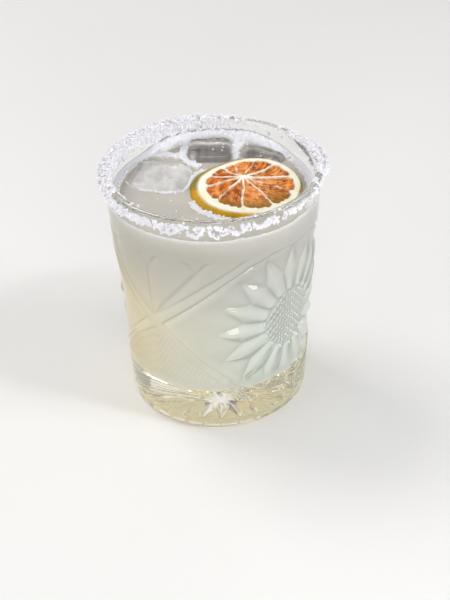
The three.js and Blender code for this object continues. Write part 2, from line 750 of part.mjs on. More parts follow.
// Materials, with colours from the photographed drink
function coat(color, roughness, opacity = 1) {
  const transparent = opacity < 1;
  return new THREE.MeshStandardMaterial({ color, roughness, metalness: 0, transparent, opacity });
}

const glassMaterial = coat('#e9ece2', 0.03, 0.35);
const drinkMaterial = coat('#d4d4bd', 0.25);
const saltMaterial = coat('#f4f3f6', 0.6);
const citrusMaterial = coat('#e08a4c', 0.6);
const iceMaterial = coat('#e6ebe4', 0.08, 0.4);

function named(name, geometry, material) {
  const mesh = new THREE.Mesh(geometry, material);
  mesh.name = name;
  return mesh;
}

const cocktail = new THREE.Group();
cocktail.add(named('tumbler', tumblerGeometry(), glassMaterial));
cocktail.add(named('salt_rim', saltGeometry(), saltMaterial));
cocktail.add(named('drink', drinkGeometry(), drinkMaterial));
cocktail.add(named('citrus_wheel', wheelGeometry(), citrusMaterial));
for (const cube of iceCubes) {
  cocktail.add(placeIce(named(cube[0], iceGeometry(cube[2], 0), iceMaterial), cube));
}

export default cocktail;
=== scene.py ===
"""A margarita in a pressed-glass tumbler: cloudy drink with foam, ice, loose salt and a dried citrus wheel.

Sizes are in millimetres until a mesh is made, and azimuths are in degrees from the front (-Y) towards +X.
"""
import math
import bmesh
import bpy
import numpy as np
from mathutils import Matrix, Vector


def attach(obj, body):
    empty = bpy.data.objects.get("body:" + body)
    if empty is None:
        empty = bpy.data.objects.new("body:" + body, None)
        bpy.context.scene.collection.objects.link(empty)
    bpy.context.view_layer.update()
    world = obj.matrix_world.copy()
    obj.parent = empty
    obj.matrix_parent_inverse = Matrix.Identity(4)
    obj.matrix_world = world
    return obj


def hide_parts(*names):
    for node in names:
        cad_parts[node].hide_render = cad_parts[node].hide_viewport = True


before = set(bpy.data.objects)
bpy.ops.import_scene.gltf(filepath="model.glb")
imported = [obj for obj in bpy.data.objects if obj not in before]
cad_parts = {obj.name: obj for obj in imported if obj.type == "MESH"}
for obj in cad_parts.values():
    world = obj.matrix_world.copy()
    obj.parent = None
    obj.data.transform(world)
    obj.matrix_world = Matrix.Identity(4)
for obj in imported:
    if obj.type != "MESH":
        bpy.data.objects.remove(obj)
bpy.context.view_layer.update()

MM = 0.001
rng = np.random.default_rng(11)

# The tumbler's driving sizes, as in the solids
GLASS_HEIGHT = 106.0
RIM_RADIUS = 44.5
WALL_TAPER = 0.0655
LIP_THICKNESS = 2.6
LIP_MIDDLE = RIM_RADIUS - LIP_THICKNESS / 2
LIP_HALF = LIP_THICKNESS / 2
LIP_ROUNDING = 1.1
CAVITY_FLOOR = 17.0
CAVITY_FLOOR_RADIUS = 28.8
CAVITY_CORNER_HEIGHT = 7.5
CAVITY_TAPER = 0.0789
CAVITY_TOP = GLASS_HEIGHT - 1.2
FOOT_OUTER_RADIUS = 35.9
FOOT_INNER_RADIUS = 27.5
DRINK_LEVEL = 95.5

# The relief on its outside
STAR_AZIMUTH = 49.5
STAR_HEIGHT = 49.5
STAR_TIP = 36.0
STAR_NOTCH = 24.5
STAR_POINTS = 16
CROSS_HEIGHT = 52.0
RELIEF_TOP = 87.0
RELIEF_BOTTOM = 12.0
OUTLINE_DEPTH = 1.5
GROOVE_DEPTH = 0.8
GROOVE_HALF_WIDTH = 1.8
MM_PER_DEGREE = 0.7156

# Ice, as in the solids: centre, size, turn and lean in degrees
ICE = {
    "ice_left": ((-21.4, 10.6, 86.9), (25, 23, 22), -13, 2),
    "ice_back": ((-1.0, 29.4, 91.3), (19, 15, 18), -3, 3),
    "ice_right": ((21.7, 25.5, 91.1), (19, 9.5, 13.5), -33, 4),
}

# The citrus wheel, as in the solids, with its membranes in degrees from the back towards +X
WHEEL_CENTRE = np.array([13.5, -2.5])
WHEEL_RADIUS = 22.9
WHEEL_HEIGHT = 97.9
WHEEL_SLOPE = 0.04
WHEEL_FACE_RADIUS = 20.6
WHEEL_THICKNESS = 4.6
FACE_SHIFT = np.array([1.4, -0.9])
CORE_OFFSET = np.array([-2.4, 7.0])
SEGMENT_EDGES = np.array([8, 38, 74, 107, 146, 188, 232, 271, 296, 322, 340])


def wall_radius(z):
    return RIM_RADIUS - (GLASS_HEIGHT - z) * WALL_TAPER


def cavity_radius(z):
    return RIM_RADIUS - LIP_THICKNESS - (CAVITY_TOP - z) * CAVITY_TAPER


CAVITY_CORNER_TOP = CAVITY_FLOOR + CAVITY_CORNER_HEIGHT
CAVITY_CORNER_RADIUS = cavity_radius(CAVITY_CORNER_TOP) - CAVITY_FLOOR_RADIUS


def smooth(low, high, value):
    """0 at low and 1 at high, with a soft start and end."""
    t = np.clip((value - low) / (high - low), 0, 1)
    return t * t * (3 - 2 * t)


def lumps(x, y, size, seed, octaves=3):
    """Smooth unevenness from -1 to 1, with bumps about size mm across."""
    source = np.random.default_rng(seed)
    total, weight = 0.0, 0.0
    for octave in range(octaves):
        for _ in range(5):
            turn, shift = source.uniform(0, 2 * math.pi, 2)
            wave = 2 * math.pi / (size * source.uniform(0.7, 1.5)) * 2**octave
            total = total + np.sin((x * math.cos(turn) + y * math.sin(turn)) * wave + shift) / 2**octave
            weight += 0.55 / 2**octave
    return np.clip(total / weight, -1, 1)


def polar(azimuth, radius, z):
    """Points of azimuth (degrees), radius and height, as an array with x, y, z last."""
    a = np.radians(azimuth)
    azimuth, radius, z = np.broadcast_arrays(a, radius, z)
    return np.stack([radius * np.sin(a), -radius * np.cos(a), z], axis=-1)


def line_distance(x, y, line):
    """Distance from a line through a few points."""
    best = np.full(np.shape(x), 1e9)
    for (x0, y0), (x1, y1) in zip(line, line[1:]):
        dx, dy = x1 - x0, y1 - y0
        t = np.clip(((x - x0) * dx + (y - y0) * dy) / (dx * dx + dy * dy), 0, 1)
        best = np.minimum(best, np.hypot(x - x0 - t * dx, y - y0 - t * dy))
    return best


# Mesh making


def new_object(name, data):
    made = bpy.data.objects.new(name, data)
    bpy.context.scene.collection.objects.link(made)
    return made


def make_piece(name, points, faces, materials, attributes=None, material_index=None):
    """A smooth mesh piece from points in mm and a list of face arrays, with three or four corners a row."""
    mesh = bpy.data.meshes.new(name)
    corners = np.concatenate([f.ravel() for f in faces]).astype(np.int32)
    sizes = np.concatenate([np.full(len(f), f.shape[1]) for f in faces])
    starts = np.concatenate([[0], np.cumsum(sizes)[:-1]]).astype(np.int32)
    mesh.vertices.add(len(points))
    mesh.vertices.foreach_set("co", (np.asarray(points) * MM).astype(np.float32).ravel())
    mesh.loops.add(len(corners))
    mesh.loops.foreach_set("vertex_index", corners)
    mesh.polygons.add(len(sizes))
    mesh.polygons.foreach_set("loop_start", starts)
    if material_index is not None:
        mesh.polygons.foreach_set("material_index", material_index.astype(np.int32))
    mesh.update(calc_edges=True)
    mesh.polygons.foreach_set("use_smooth", np.ones(len(sizes), bool))
    for key, values in (attributes or {}).items():
        made = mesh.attributes.new(key, "FLOAT", "POINT")
        made.data.foreach_set("value", values.astype(np.float32).ravel())
    for material in materials:
        mesh.materials.append(material)
    piece = new_object(name, mesh)
    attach(piece, "root")
    return piece


def ring_faces(rows, columns):
    """Faces of a grid of rows of points, closed round each row."""
    index = np.arange(rows * columns).reshape(rows, columns)
    right = np.roll(index, -1, axis=1)
    return np.stack([index[:-1], right[:-1], right[1:], index[1:]], axis=-1).reshape(-1, 4)


def fan_faces(ring, apex, turned=False):
    following = np.roll(ring, -1)
    order = (following, ring) if turned else (ring, following)
    return np.stack([*order, np.full(len(ring), apex)], axis=-1)


def closed_grid(grid, low_pole, high_pole):
    """Points and faces of a grid of closed rows, with a pole before the first row and one after the last."""
    rows, columns = grid.shape[:2]
    points = np.concatenate([grid.reshape(-1, 3), [low_pole, high_pole]])
    last = rows * columns
    faces = [
        ring_faces(rows, columns),
        fan_faces(np.arange(columns), last, turned=True),
        fan_faces(np.arange(last - columns, last), last + 1),
    ]
    return points, faces


def scatter(name, shapes, places, sizes, turns, material):
    """Joins many small copies of a few shapes, each a pair of points and faces, into one mesh piece."""
    points, faces, count = [], [], 0
    for i, (place, size, turn) in enumerate(zip(places, sizes, turns)):
        shape, shape_faces = shapes[i % len(shapes)]
        points.append(shape * size @ turn.T + place)
        faces.append(shape_faces + count)
        count += len(shape)
    return make_piece(name, np.concatenate(points), [np.concatenate(faces)], [material])


def random_turns(count):
    axes = rng.normal(size=(count, 3))
    axes /= np.linalg.norm(axes, axis=1, keepdims=True)
    angles = rng.uniform(0, 2 * math.pi, count)
    return [np.array(Matrix.Rotation(a, 3, Vector(axis))) for a, axis in zip(angles, axes)]


# Relief of the glass

# Its lines are points of degrees from the cross's axis and height
BAND_HALF = 3.3
CROSS_SIDE = (6, CROSS_HEIGHT)
CROSS_TOP = (0, CROSS_HEIGHT + BAND_HALF)
CROSS_FOOT = (0, CROSS_HEIGHT - BAND_HALF)
UPPER_BAND_TOP = [CROSS_TOP, (35, 74.9), (60, RELIEF_TOP)]
UPPER_BAND_FOOT = [CROSS_SIDE, (29.1, 65.7), (45.8, 75.6), (59.5, 82), (75.9, 85.6), (90, RELIEF_TOP)]
LOWER_BAND_TOP = [CROSS_SIDE, (29.1, 36.5), (45.8, 27), (59.5, 19.5), (75.9, 14.6), (90, RELIEF_BOTTOM)]
LOWER_BAND_FOOT = [CROSS_FOOT, (19.6, 38.6), (38, 26.5), (60, RELIEF_BOTTOM)]
BAND_END = 60
BAND_EDGE_DEPTH = 1.2

FAN_RAY = [CROSS_TOP, (30, 81)]
FAN_NOTCHES = [[(22.5, RELIEF_TOP), (30, 81), (37.5, RELIEF_TOP)], [(0, 80), (7.5, RELIEF_TOP)]]
RAY_HALF_WIDTH = 2.4
NOTCH_DEPTH = 0.65

STAR_STEP = 2 * math.pi / STAR_POINTS
NOTCH_ALONG = STAR_NOTCH * math.cos(STAR_STEP / 2)
NOTCH_SIDE = STAR_NOTCH * math.sin(STAR_STEP / 2)
STAR_EDGE_DEPTH = 1.6
STAR_EDGE_HALF = 1.8
RIDGE_END = 29.0
RIDGE_DEPTH = 0.1
RAY_BULGE = 0.35
RAY_START = 14.9
DISC_RADIUS = 13.5
DISC_EDGE_DEPTH = 1.3
HOBNAIL_PITCH = 2.4
HOBNAIL_HEIGHT = 1.4

HATCH_PITCH = 1.9
HATCH_DEPTH = 0.85
HATCH_TURN = (0.85, 0.53)
LATTICE_FOOT = 22.0


def distance_to(azimuth, z, line):
    """Distance in mm from a line of the relief."""
    unrolled = [(place * MM_PER_DEGREE, height) for place, height in line]
    return line_distance(azimuth * MM_PER_DEGREE, z, unrolled)


def line_height(azimuth, line):
    return np.interp(azimuth, [p[0] for p in line], [p[1] for p in line])


def groove(distance, depth=GROOVE_DEPTH, half=GROOVE_HALF_WIDTH):
    return depth * np.clip(1 - distance / half, 0, 1)


def zigzag(value):
    """0 at whole numbers and 1 half way between them."""
    return 1 - np.abs(2 * (value - np.floor(value)) - 1)


def beside_ray(x, up):
    """Distance from the star's middle, and the way along the nearest point's axis and beside it."""
    radius, angle = np.hypot(x, up), np.arctan2(x, up)
    off = np.abs(angle / STAR_STEP - np.round(angle / STAR_STEP)) * STAR_STEP
    return radius, radius * np.cos(off), radius * np.sin(off)


def star_distance(x, up):
    """Distance from the star's outline, outside it, nearly enough."""
    _, along, side = beside_ray(x, up)
    dx, dz = NOTCH_SIDE, NOTCH_ALONG - STAR_TIP
    t = np.clip((side * dx + (along - STAR_TIP) * dz) / (dx * dx + dz * dz), 0, 1)
    return np.hypot(side - t * dx, along - STAR_TIP - t * dz)


def disc_depth(x, up, radius):
    """Hobnails on the star's disc, which sinks to its edge."""
    pitch = HOBNAIL_PITCH * 1.414
    nails = np.minimum(zigzag((x + up) / pitch), zigzag((x - up) / pitch))
    depth = RIDGE_DEPTH + HOBNAIL_HEIGHT * (1 - nails)
    return depth + (DISC_EDGE_DEPTH - depth) * smooth(DISC_RADIUS - 1.4, DISC_RADIUS - 0.2, radius)


def star_depth(x, up):
    """Depth inside the star, and whether a place is inside it."""
    radius, along, side = beside_ray(x, up)
    beyond = NOTCH_SIDE * (STAR_TIP - along) / (STAR_TIP - NOTCH_ALONG)
    width = np.where(along <= NOTCH_ALONG, along * math.tan(STAR_STEP / 2), beyond)
    across = np.clip(side / np.maximum(width, 1e-6), 0, 1)
    fall = np.clip((radius - RIDGE_END) / (STAR_TIP - RIDGE_END), 0, 1)
    ridge = RIDGE_DEPTH + (OUTLINE_DEPTH - RIDGE_DEPTH) * fall
    ray = ridge + (OUTLINE_DEPTH - ridge) * across
    ray = np.maximum(ray - RAY_BULGE * (1 - across), groove(width - side, STAR_EDGE_DEPTH, STAR_EDGE_HALF))
    start = np.clip((radius - DISC_RADIUS) / (RAY_START - DISC_RADIUS), 0, 1)
    ray = DISC_EDGE_DEPTH + (ray - DISC_EDGE_DEPTH) * start
    depth = np.where(radius < DISC_RADIUS, disc_depth(x, up, radius), ray)
    return np.maximum(depth, 0), side < width


def fan_depth(azimuth, z):
    """Grooves that fan out above the cross, with notches at their ends."""
    rays = groove(distance_to(azimuth, z, FAN_RAY), GROOVE_DEPTH, RAY_HALF_WIDTH)
    spine = groove(azimuth * MM_PER_DEGREE + 9 * (z > 80), GROOVE_DEPTH, RAY_HALF_WIDTH)
    notches = [groove(distance_to(azimuth, z, line), NOTCH_DEPTH) for line in FAN_NOTCHES]
    return np.maximum.reduce([rays, spine, *notches])


def lattice_depth(azimuth, z, foot):
    """Fine hatching in the panel below the cross, whose upper edge is at height foot."""
    sideways = azimuth * MM_PER_DEGREE
    steep = zigzag((HATCH_TURN[0] * sideways - HATCH_TURN[1] * z) / HATCH_PITCH)
    shallow = zigzag((HATCH_TURN[1] * sideways + HATCH_TURN[0] * z) / HATCH_PITCH / 2)
    depth = RIDGE_DEPTH + HATCH_DEPTH * np.maximum(1 - steep, 0.5 - 0.5 * shallow)
    return depth * smooth(0.6, 2.4, foot - z) * smooth(LATTICE_FOOT, LATTICE_FOOT + 4, z)


def relief_depth(azimuth, z):
    """How deep the wall is pressed in. The pattern repeats at the back and mirrors at each motif's axis."""
    turn = np.abs((azimuth - (STAR_AZIMUTH - 90) + 180) % 360 - 180)
    folded = np.where(turn > 90, 180 - turn, turn)
    x, up = (folded - 90) * MM_PER_DEGREE, z - STAR_HEIGHT
    top, foot = line_height(folded, UPPER_BAND_TOP), line_height(folded, LOWER_BAND_FOOT)
    at_cross = folded < CROSS_SIDE[0]
    inner = np.where(at_cross, CROSS_HEIGHT, line_height(folded, UPPER_BAND_FOOT))
    lower = np.where(at_cross, CROSS_HEIGHT, line_height(folded, LOWER_BAND_TOP))
    edges = np.maximum(*(groove(distance_to(folded, z, line)) for line in (UPPER_BAND_TOP, LOWER_BAND_FOOT)))
    from_band = np.minimum(distance_to(folded, z, UPPER_BAND_FOOT), distance_to(folded, z, LOWER_BAND_TOP))
    band_edge = groove(from_band, BAND_EDGE_DEPTH)
    near_star = np.clip(from_band / (from_band + star_distance(x, up) + 1e-6), 0, 1)
    field = RIDGE_DEPTH + (OUTLINE_DEPTH - RIDGE_DEPTH) * near_star

    beside_band = folded < BAND_END
    in_field = (z < inner) & (z > lower) & ~at_cross
    depth = np.maximum(edges, band_edge)
    depth = np.where((z > top) & beside_band, np.maximum(edges, fan_depth(folded, z)), depth)
    depth = np.where((z < foot) & beside_band, np.maximum(edges, lattice_depth(folded, z, foot)), depth)
    depth = np.where(in_field, np.maximum(field, band_edge), depth)
    star, inside_star = star_depth(x, up)
    depth = np.where(inside_star, star, depth)
    return depth * smooth(RELIEF_BOTTOM, RELIEF_BOTTOM + 1.5, z) * smooth(-RELIEF_TOP, -RELIEF_TOP + 1.5, -z)


# Tumbler

GLASS_COLUMNS = 528
RELIEF_ROWS = 141
RECESS_HEIGHT = 0.8
RECESS_RINGS = (1.5, 4, 6.5, 9, 11.5, 14, 16.5, 19, 21, 23, 24.6, 25.8, 26.6)
FOOT_PROFILE = [
    (FOOT_INNER_RADIUS, 0.0),
    (28.2, 0.0),
    (FOOT_OUTER_RADIUS - 0.5, 0.0),
    (FOOT_OUTER_RADIUS, 0.05),
    (36.5, 0.35),
    (37.0, 1.0),
    (37.4, 2.2),
    (37.8, 4.6),
    (wall_radius(8) - 0.02, 8.0),
]

# Leaf-shaped cuts under the glass, by turns long and short
RAY_COUNT = 24
RAY_DEPTH = 1.6
RAY_LEAF_HALF = 1.9
LONG_RAY_START = 3.5
SHORT_RAY_START = 7.5


def underside_height(azimuth, radius):
    """The recess under the glass, with cuts like a sunburst."""
    step = 360 / RAY_COUNT
    place = azimuth / step
    off = np.abs(place - np.round(place)) * np.radians(step) * radius
    start = LONG_RAY_START + (SHORT_RAY_START - LONG_RAY_START) * (np.round(place) % 2)
    along = np.clip((radius - start) / (FOOT_INNER_RADIUS - 1.2 - start), 0, 1)
    half = RAY_LEAF_HALF * np.sin(math.pi * along) ** 0.8 + 1e-6
    return RECESS_HEIGHT + RAY_DEPTH * np.clip(1 - off / half, 0, 1) * smooth(0, 0.2, along)


def lip_profile():
    profile = [(wall_radius(93), 93.0), (wall_radius(103), 103.0)]
    for turn in np.radians((8, 35, 62, 90, 118, 145, 172)):
        height = GLASS_HEIGHT - LIP_ROUNDING + LIP_ROUNDING * math.sin(turn)
        profile.append((LIP_MIDDLE + LIP_HALF * math.cos(turn), height))
    return profile


def cavity_profile():
    profile = [(cavity_radius(z), z) for z in (102.5, 97.0, 60.0, 27.0, 24.5)]
    for turn in np.radians((20, 40, 60, 78, 90)):
        height = CAVITY_FLOOR + CAVITY_CORNER_HEIGHT * (1 - math.sin(turn))
        profile.append((CAVITY_FLOOR_RADIUS + CAVITY_CORNER_RADIUS * math.cos(turn), height))
    return profile + [(14.0, CAVITY_FLOOR)]


def tumbler_rows(azimuth):
    """Radius and height of each row, from the middle of the underside over the lip to the cavity's floor."""
    even = np.ones_like(azimuth)
    for radius in RECESS_RINGS:
        yield radius * even, underside_height(azimuth, radius)
    for radius, z in FOOT_PROFILE:
        yield radius * even, z * even
    for z in np.linspace(RELIEF_BOTTOM, RELIEF_TOP, RELIEF_ROWS):
        yield wall_radius(z) - relief_depth(azimuth, z * even), z * even
    for radius, z in lip_profile() + cavity_profile():
        yield radius * even, z * even


def build_tumbler(material):
    azimuth = STAR_AZIMUTH - 90 + np.arange(GLASS_COLUMNS) * 360 / GLASS_COLUMNS
    grid = np.stack([polar(azimuth, radius, z) for radius, z in tumbler_rows(azimuth)])
    points, faces = closed_grid(grid, (0, 0, RECESS_HEIGHT), (0, 0, CAVITY_FLOOR))
    piece = make_piece("tumbler_glass", points, faces, [material])
    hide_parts("tumbler")


# Ice

ICE_ROUNDNESS = 5.5
ICE_SEGMENTS = 28
ICE_MELT = 0.03
ICE_CORNER = 3.5


def ice_matrix(turn, lean):
    turned = Matrix.Rotation(math.radians(turn), 3, "Z")
    return np.array(turned @ Matrix.Rotation(math.radians(lean), 3, "X"))


def ice_surface(size):
    """Points and faces of a rounded block about the origin, from the six sides of a cube."""
    share = np.sin(np.linspace(-0.5, 0.5, ICE_SEGMENTS + 1) * math.pi)
    share = np.sign(share) * np.abs(share) ** 0.9
    u, v = np.meshgrid(share, share, indexing="ij")
    points, faces = [], []
    for axis in range(3):
        for sign in (-1, 1):
            side = np.zeros((*u.shape, 3))
            side[..., axis] = sign
            side[..., (axis + 1) % 3] = u * sign
            side[..., (axis + 2) % 3] = v
            index = len(points) * u.size + np.arange(u.size).reshape(u.shape)
            quads = [index[:-1, :-1], index[1:, :-1], index[1:, 1:], index[:-1, 1:]]
            faces.append(np.stack(quads, axis=-1).reshape(-1, 4))
            points.append(side.reshape(-1, 3))
    points, faces = np.concatenate(points), np.concatenate(faces)
    _, first, inverse = np.unique(np.round(points, 6), axis=0, return_index=True, return_inverse=True)
    points, faces = points[first], inverse.ravel()[faces]
    norm = (np.abs(points) ** ICE_ROUNDNESS).sum(axis=1, keepdims=True) ** (1 / ICE_ROUNDNESS)
    return points / norm * np.array(size) / 2, faces


def build_ice(name, material):
    centre, size, turn, lean = ICE[name]
    points, faces = ice_surface(size)
    seed = len(name) + int(size[1])
    melt = lumps(points[:, 0] + points[:, 2], points[:, 1] - points[:, 2], 14, seed, 3)
    points = points * (1 + ICE_MELT * melt[:, None])
    points = points @ ice_matrix(turn, lean).T + centre
    piece = make_piece(name + "_melting", points, [faces], [material])
    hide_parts(name)


def inside_ice(x, y, z, name, margin):
    """How far inside a block's outline a place is at height z, in mm, less the margin."""
    centre, size, turn, lean = ICE[name]
    local = (np.stack([x, y, np.full_like(x, z)], axis=-1) - centre) @ ice_matrix(turn, lean)
    past_x, past_y = (np.abs(local[..., i]) - size[i] / 2 for i in (0, 1))
    corner = np.hypot(np.maximum(past_x + ICE_CORNER, 0), np.maximum(past_y + ICE_CORNER, 0))
    return np.minimum(-np.maximum(past_x, past_y), ICE_CORNER - corner) - margin


# Foam

# Lines of foam on the drink, as [x, y] points in mm, with half width and height
FOAM_LINES = [
    ([(8, 30), (10.5, 33), (12, 37.5)], 2.4, 1.3),
    ([(9.6, 24), (10.5, 29)], 1.3, 0.8),
    ([(-26, 29), (-19, 29.5), (-12.5, 26.5), (-9, 21), (-6.5, 18.5)], 1.9, 0.9),
    ([(-13, 27), (-11.6, 33), (-11.8, 38)], 1.6, 0.9),
    ([(-35, 6), (-29.6, 0.5), (-24.6, -1.4), (-18.8, -3), (-13, -2.2), (-9.8, 3), (-8.6, 9)], 0.75, 0.6),
    ([(-8.4, 9.5), (-6.2, 12.6), (-3.4, 14)], 1.1, 0.7),
    ([(-8.2, -13), (-6.2, -17.4), (-2.6, -21.2), (2.6, -24.6), (8, -26.6)], 1.4, 0.5),
    ([(24, 33.6), (30.5, 30), (34, 23)], 1.6, 0.9),
]
FOAM_MIDDLE = 176
FOAM_BACK_WIDTH = 3.4
FOAM_CLIMB = 4.4


def foam_at(x, y):
    """How much foam lies at a place, from 0 to 1, and how high it stands."""
    radius, azimuth = np.hypot(x, y), np.degrees(np.arctan2(x, -y))
    from_wall = cavity_radius(DRINK_LEVEL) - radius
    behind = np.cos(np.radians(azimuth - FOAM_MIDDLE))
    width = FOAM_BACK_WIDTH * smooth(-0.75, 0.1, behind) - 0.6 + 0.9 * lumps(x, y, 9, 3)
    rough = lumps(x, y, 5, 5)
    share = smooth(0.5, -0.5, from_wall - width)
    height = share * (0.7 + FOAM_CLIMB * smooth(0.55, 0.98, behind) * smooth(4.5, 0.3, from_wall))
    for line, half, high in FOAM_LINES:
        here = smooth(0.45, -0.45, line_distance(x, y, line) - half * (1 + 0.35 * rough))
        share = np.maximum(share, here)
        height = np.maximum(height, here * high)
    return share, height * (1 + 0.12 * lumps(x, y, 1.6, 8))


# Light and shade that the relief gathers on the drink's side, painted into its colour

FOCUS_DROP = 1.2
FOCUS_GAIN = 0.45
FOCUS_SLOPE_GAIN = 0.5
STAR_GAIN = 2.2
DISC_GAIN = 4.5


def soften(grid, passes):
    """Blurs a grid whose rows run round the glass."""
    for _ in range(passes):
        grid = (np.roll(grid, 1, axis=1) + 2 * grid + np.roll(grid, -1, axis=1)) / 4
        padded = np.concatenate([grid[:1], grid, grid[-1:]])
        grid = (padded[:-2] + 2 * grid + padded[2:]) / 4
    return grid


def focused_light(azimuth, heights):
    """Where the drink's side is painted with more light through the relief (towards 0) and where with less,
    as painted shade (towards 1).

    Ridges and faces turned up or to the left gather it, and cuts and faces turned the other way keep it off.
    """
    place, z = np.meshgrid(azimuth, np.asarray(heights) + FOCUS_DROP)
    depth = soften(relief_depth(place, z) * (z > RELIEF_BOTTOM) * (z < RELIEF_TOP), 1)
    upward = np.gradient(depth, z[1, 0] - z[0, 0], axis=0)
    step = 2 * 360 / len(azimuth) * MM_PER_DEGREE
    leftward = (np.roll(depth, 1, axis=1) - np.roll(depth, -1, axis=1)) / step
    turned = 0.8 * upward + 0.5 * leftward
    across = np.abs((place - STAR_AZIMUTH + 90) % 180 - 90) * MM_PER_DEGREE
    from_star = np.hypot(across, z - STAR_HEIGHT)
    gain = 1 + (STAR_GAIN - 1) * smooth(STAR_TIP, STAR_NOTCH, from_star)
    gain = np.where(from_star < DISC_RADIUS - 1, DISC_GAIN, gain)
    light = FOCUS_GAIN * (depth - soften(depth, 12)) - FOCUS_SLOPE_GAIN * turned
    return np.clip(0.5 + gain * light, 0, 1)


# Drink

DRINK_COLUMNS = 480
WALL_OVERLAP = 0.15
SIDE_ROWS = 118
# Two rows just below the level, as drop and painted light; the upper one is a painted bright line
LINE_ROWS = ((1.5, 0.5), (0.6, 0.0))
POCKET_DEPTH = {"ice_left": 1.6, "ice_back": 5.5, "ice_right": 4.5}
POCKET_RIPPLE = {"ice_left": 0.6, "ice_back": 0.25, "ice_right": 0.25}
DEEPEST_POCKET = 7.0
WHEEL_POCKET = 1.6
MENISCUS = 0.55
MENISCUS_REACH = 0.9
WAVE_HEIGHT = 0.12


def drink_floor_rows(azimuth):
    """Rows from the middle of the drink's floor to the top of its rounded corner."""
    floor = CAVITY_FLOOR - WALL_OVERLAP
    rows = [polar(azimuth, radius, floor) for radius in (10.0, 20.0, CAVITY_FLOOR_RADIUS - 0.5)]
    for turn in np.radians((78, 60, 40, 20)):
        radius = CAVITY_FLOOR_RADIUS + WALL_OVERLAP + CAVITY_CORNER_RADIUS * math.cos(turn)
        rows.append(polar(azimuth, radius, floor + CAVITY_CORNER_HEIGHT * (1 - math.sin(turn))))
    return rows


def drink_side_rows(azimuth):
    """Rows up the drink's side, and the painted light that the relief gives each of their points.

    The last two rows, just below the level, hold a painted bright line of their own.
    """
    heights = np.linspace(CAVITY_CORNER_TOP, RELIEF_TOP + 1, SIDE_ROWS)
    light = focused_light(azimuth, heights)
    for below, value in LINE_ROWS:
        heights = np.append(heights, DRINK_LEVEL - below)
        light = np.concatenate([light, np.full((1, len(azimuth)), value)])
    return [polar(azimuth, cavity_radius(z) + WALL_OVERLAP, z) for z in heights], light


def drink_top_rows(azimuth):
    """Rows of the surface from the wall inwards, with foam, slow waves and pockets under ice and fruit."""
    edge = cavity_radius(DRINK_LEVEL) + WALL_OVERLAP
    rows = []
    for radius in np.concatenate([[edge], np.arange(edge - 0.4, 38, -0.4), np.arange(38, 1, -0.6)]):
        place = polar(azimuth, radius, 0)
        x, y = place[:, 0], place[:, 1]
        _, foam_height = foam_at(x, y)
        meniscus = MENISCUS * np.exp(-(edge - radius) / MENISCUS_REACH)
        z = DRINK_LEVEL + meniscus + WAVE_HEIGHT * lumps(x, y, 16, 9, 2) + foam_height
        outward = (z - DRINK_LEVEL) * CAVITY_TAPER * (radius == edge)
        for name in ICE:
            pocket = smooth(0, 0.9, inside_ice(x, y, DRINK_LEVEL, name, 0.5))
            depth = POCKET_DEPTH[name] * (1 + POCKET_RIPPLE[name] * lumps(x, y, 7, 4))
            z = z - pocket * (depth + foam_height)
        under_wheel = WHEEL_RADIUS - 2.2 - np.hypot(x - WHEEL_CENTRE[0], y - WHEEL_CENTRE[1])
        place[:, 2] = z - WHEEL_POCKET * smooth(0, 1.5, under_wheel)
        place[:, :2] *= ((radius + outward) / radius)[:, None]
        rows.append(place)
    return rows


def build_drink(body_material, top_material):
    azimuth = np.arange(DRINK_COLUMNS) * 360 / DRINK_COLUMNS
    floor_rows = drink_floor_rows(azimuth)
    side_rows, side_light = drink_side_rows(azimuth)
    rows = floor_rows + side_rows + drink_top_rows(azimuth)
    side_start = len(floor_rows) * DRINK_COLUMNS
    top_start = side_start + len(side_rows) * DRINK_COLUMNS
    edge = slice(top_start, top_start + DRINK_COLUMNS)
    poles = (0, 0, CAVITY_FLOOR - WALL_OVERLAP), (0, 0, DRINK_LEVEL)
    points, faces = closed_grid(np.stack(rows), *poles)

    foam, _ = foam_at(points[:, 0], points[:, 1])
    foam[edge] = 1
    foam = foam * (points[:, 2] > DRINK_LEVEL - 0.5)
    sunk = np.clip((DRINK_LEVEL - points[:, 2]) / DEEPEST_POCKET, 0, 1)
    light = np.full(len(points), 0.5)
    light[side_start:top_start] = side_light.ravel()
    # The surface's edge row gets the painted bright line too
    light[edge] = 0
    on_top = np.zeros(sum(len(f) for f in faces), int)
    on_top[top_start : (len(rows) - 1) * DRINK_COLUMNS] = 1
    on_top[-DRINK_COLUMNS:] = 1
    marks = {"foam": foam, "sunk": sunk, "focus": light}
    materials = [body_material, top_material]
    piece = make_piece("drink_body", points, faces, materials, marks, on_top)
    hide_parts("drink")


# Bubbles in the foam and on the ice

BUBBLE_COUNT = 420
BUBBLE_REACH = 40.5
BUBBLE_SIZE = (0.18, 0.42)
EDGE_CHANCE = 0.9
FOAM_CHANCE = 0.28
OPEN_CHANCE = 0.012
ICE_BUBBLES = {"ice_left": 5, "ice_back": 9, "ice_right": 4}
ICE_BUBBLE_SIZE = (0.22, 0.5)


def ball(level):
    """Points and faces of a small ball of radius 1."""
    shape = bmesh.new()
    bmesh.ops.create_icosphere(shape, subdivisions=level, radius=1)
    points = np.array([v.co for v in shape.verts])
    faces = np.array([[v.index for v in f.verts] for f in shape.faces])
    shape.free()
    return points, faces


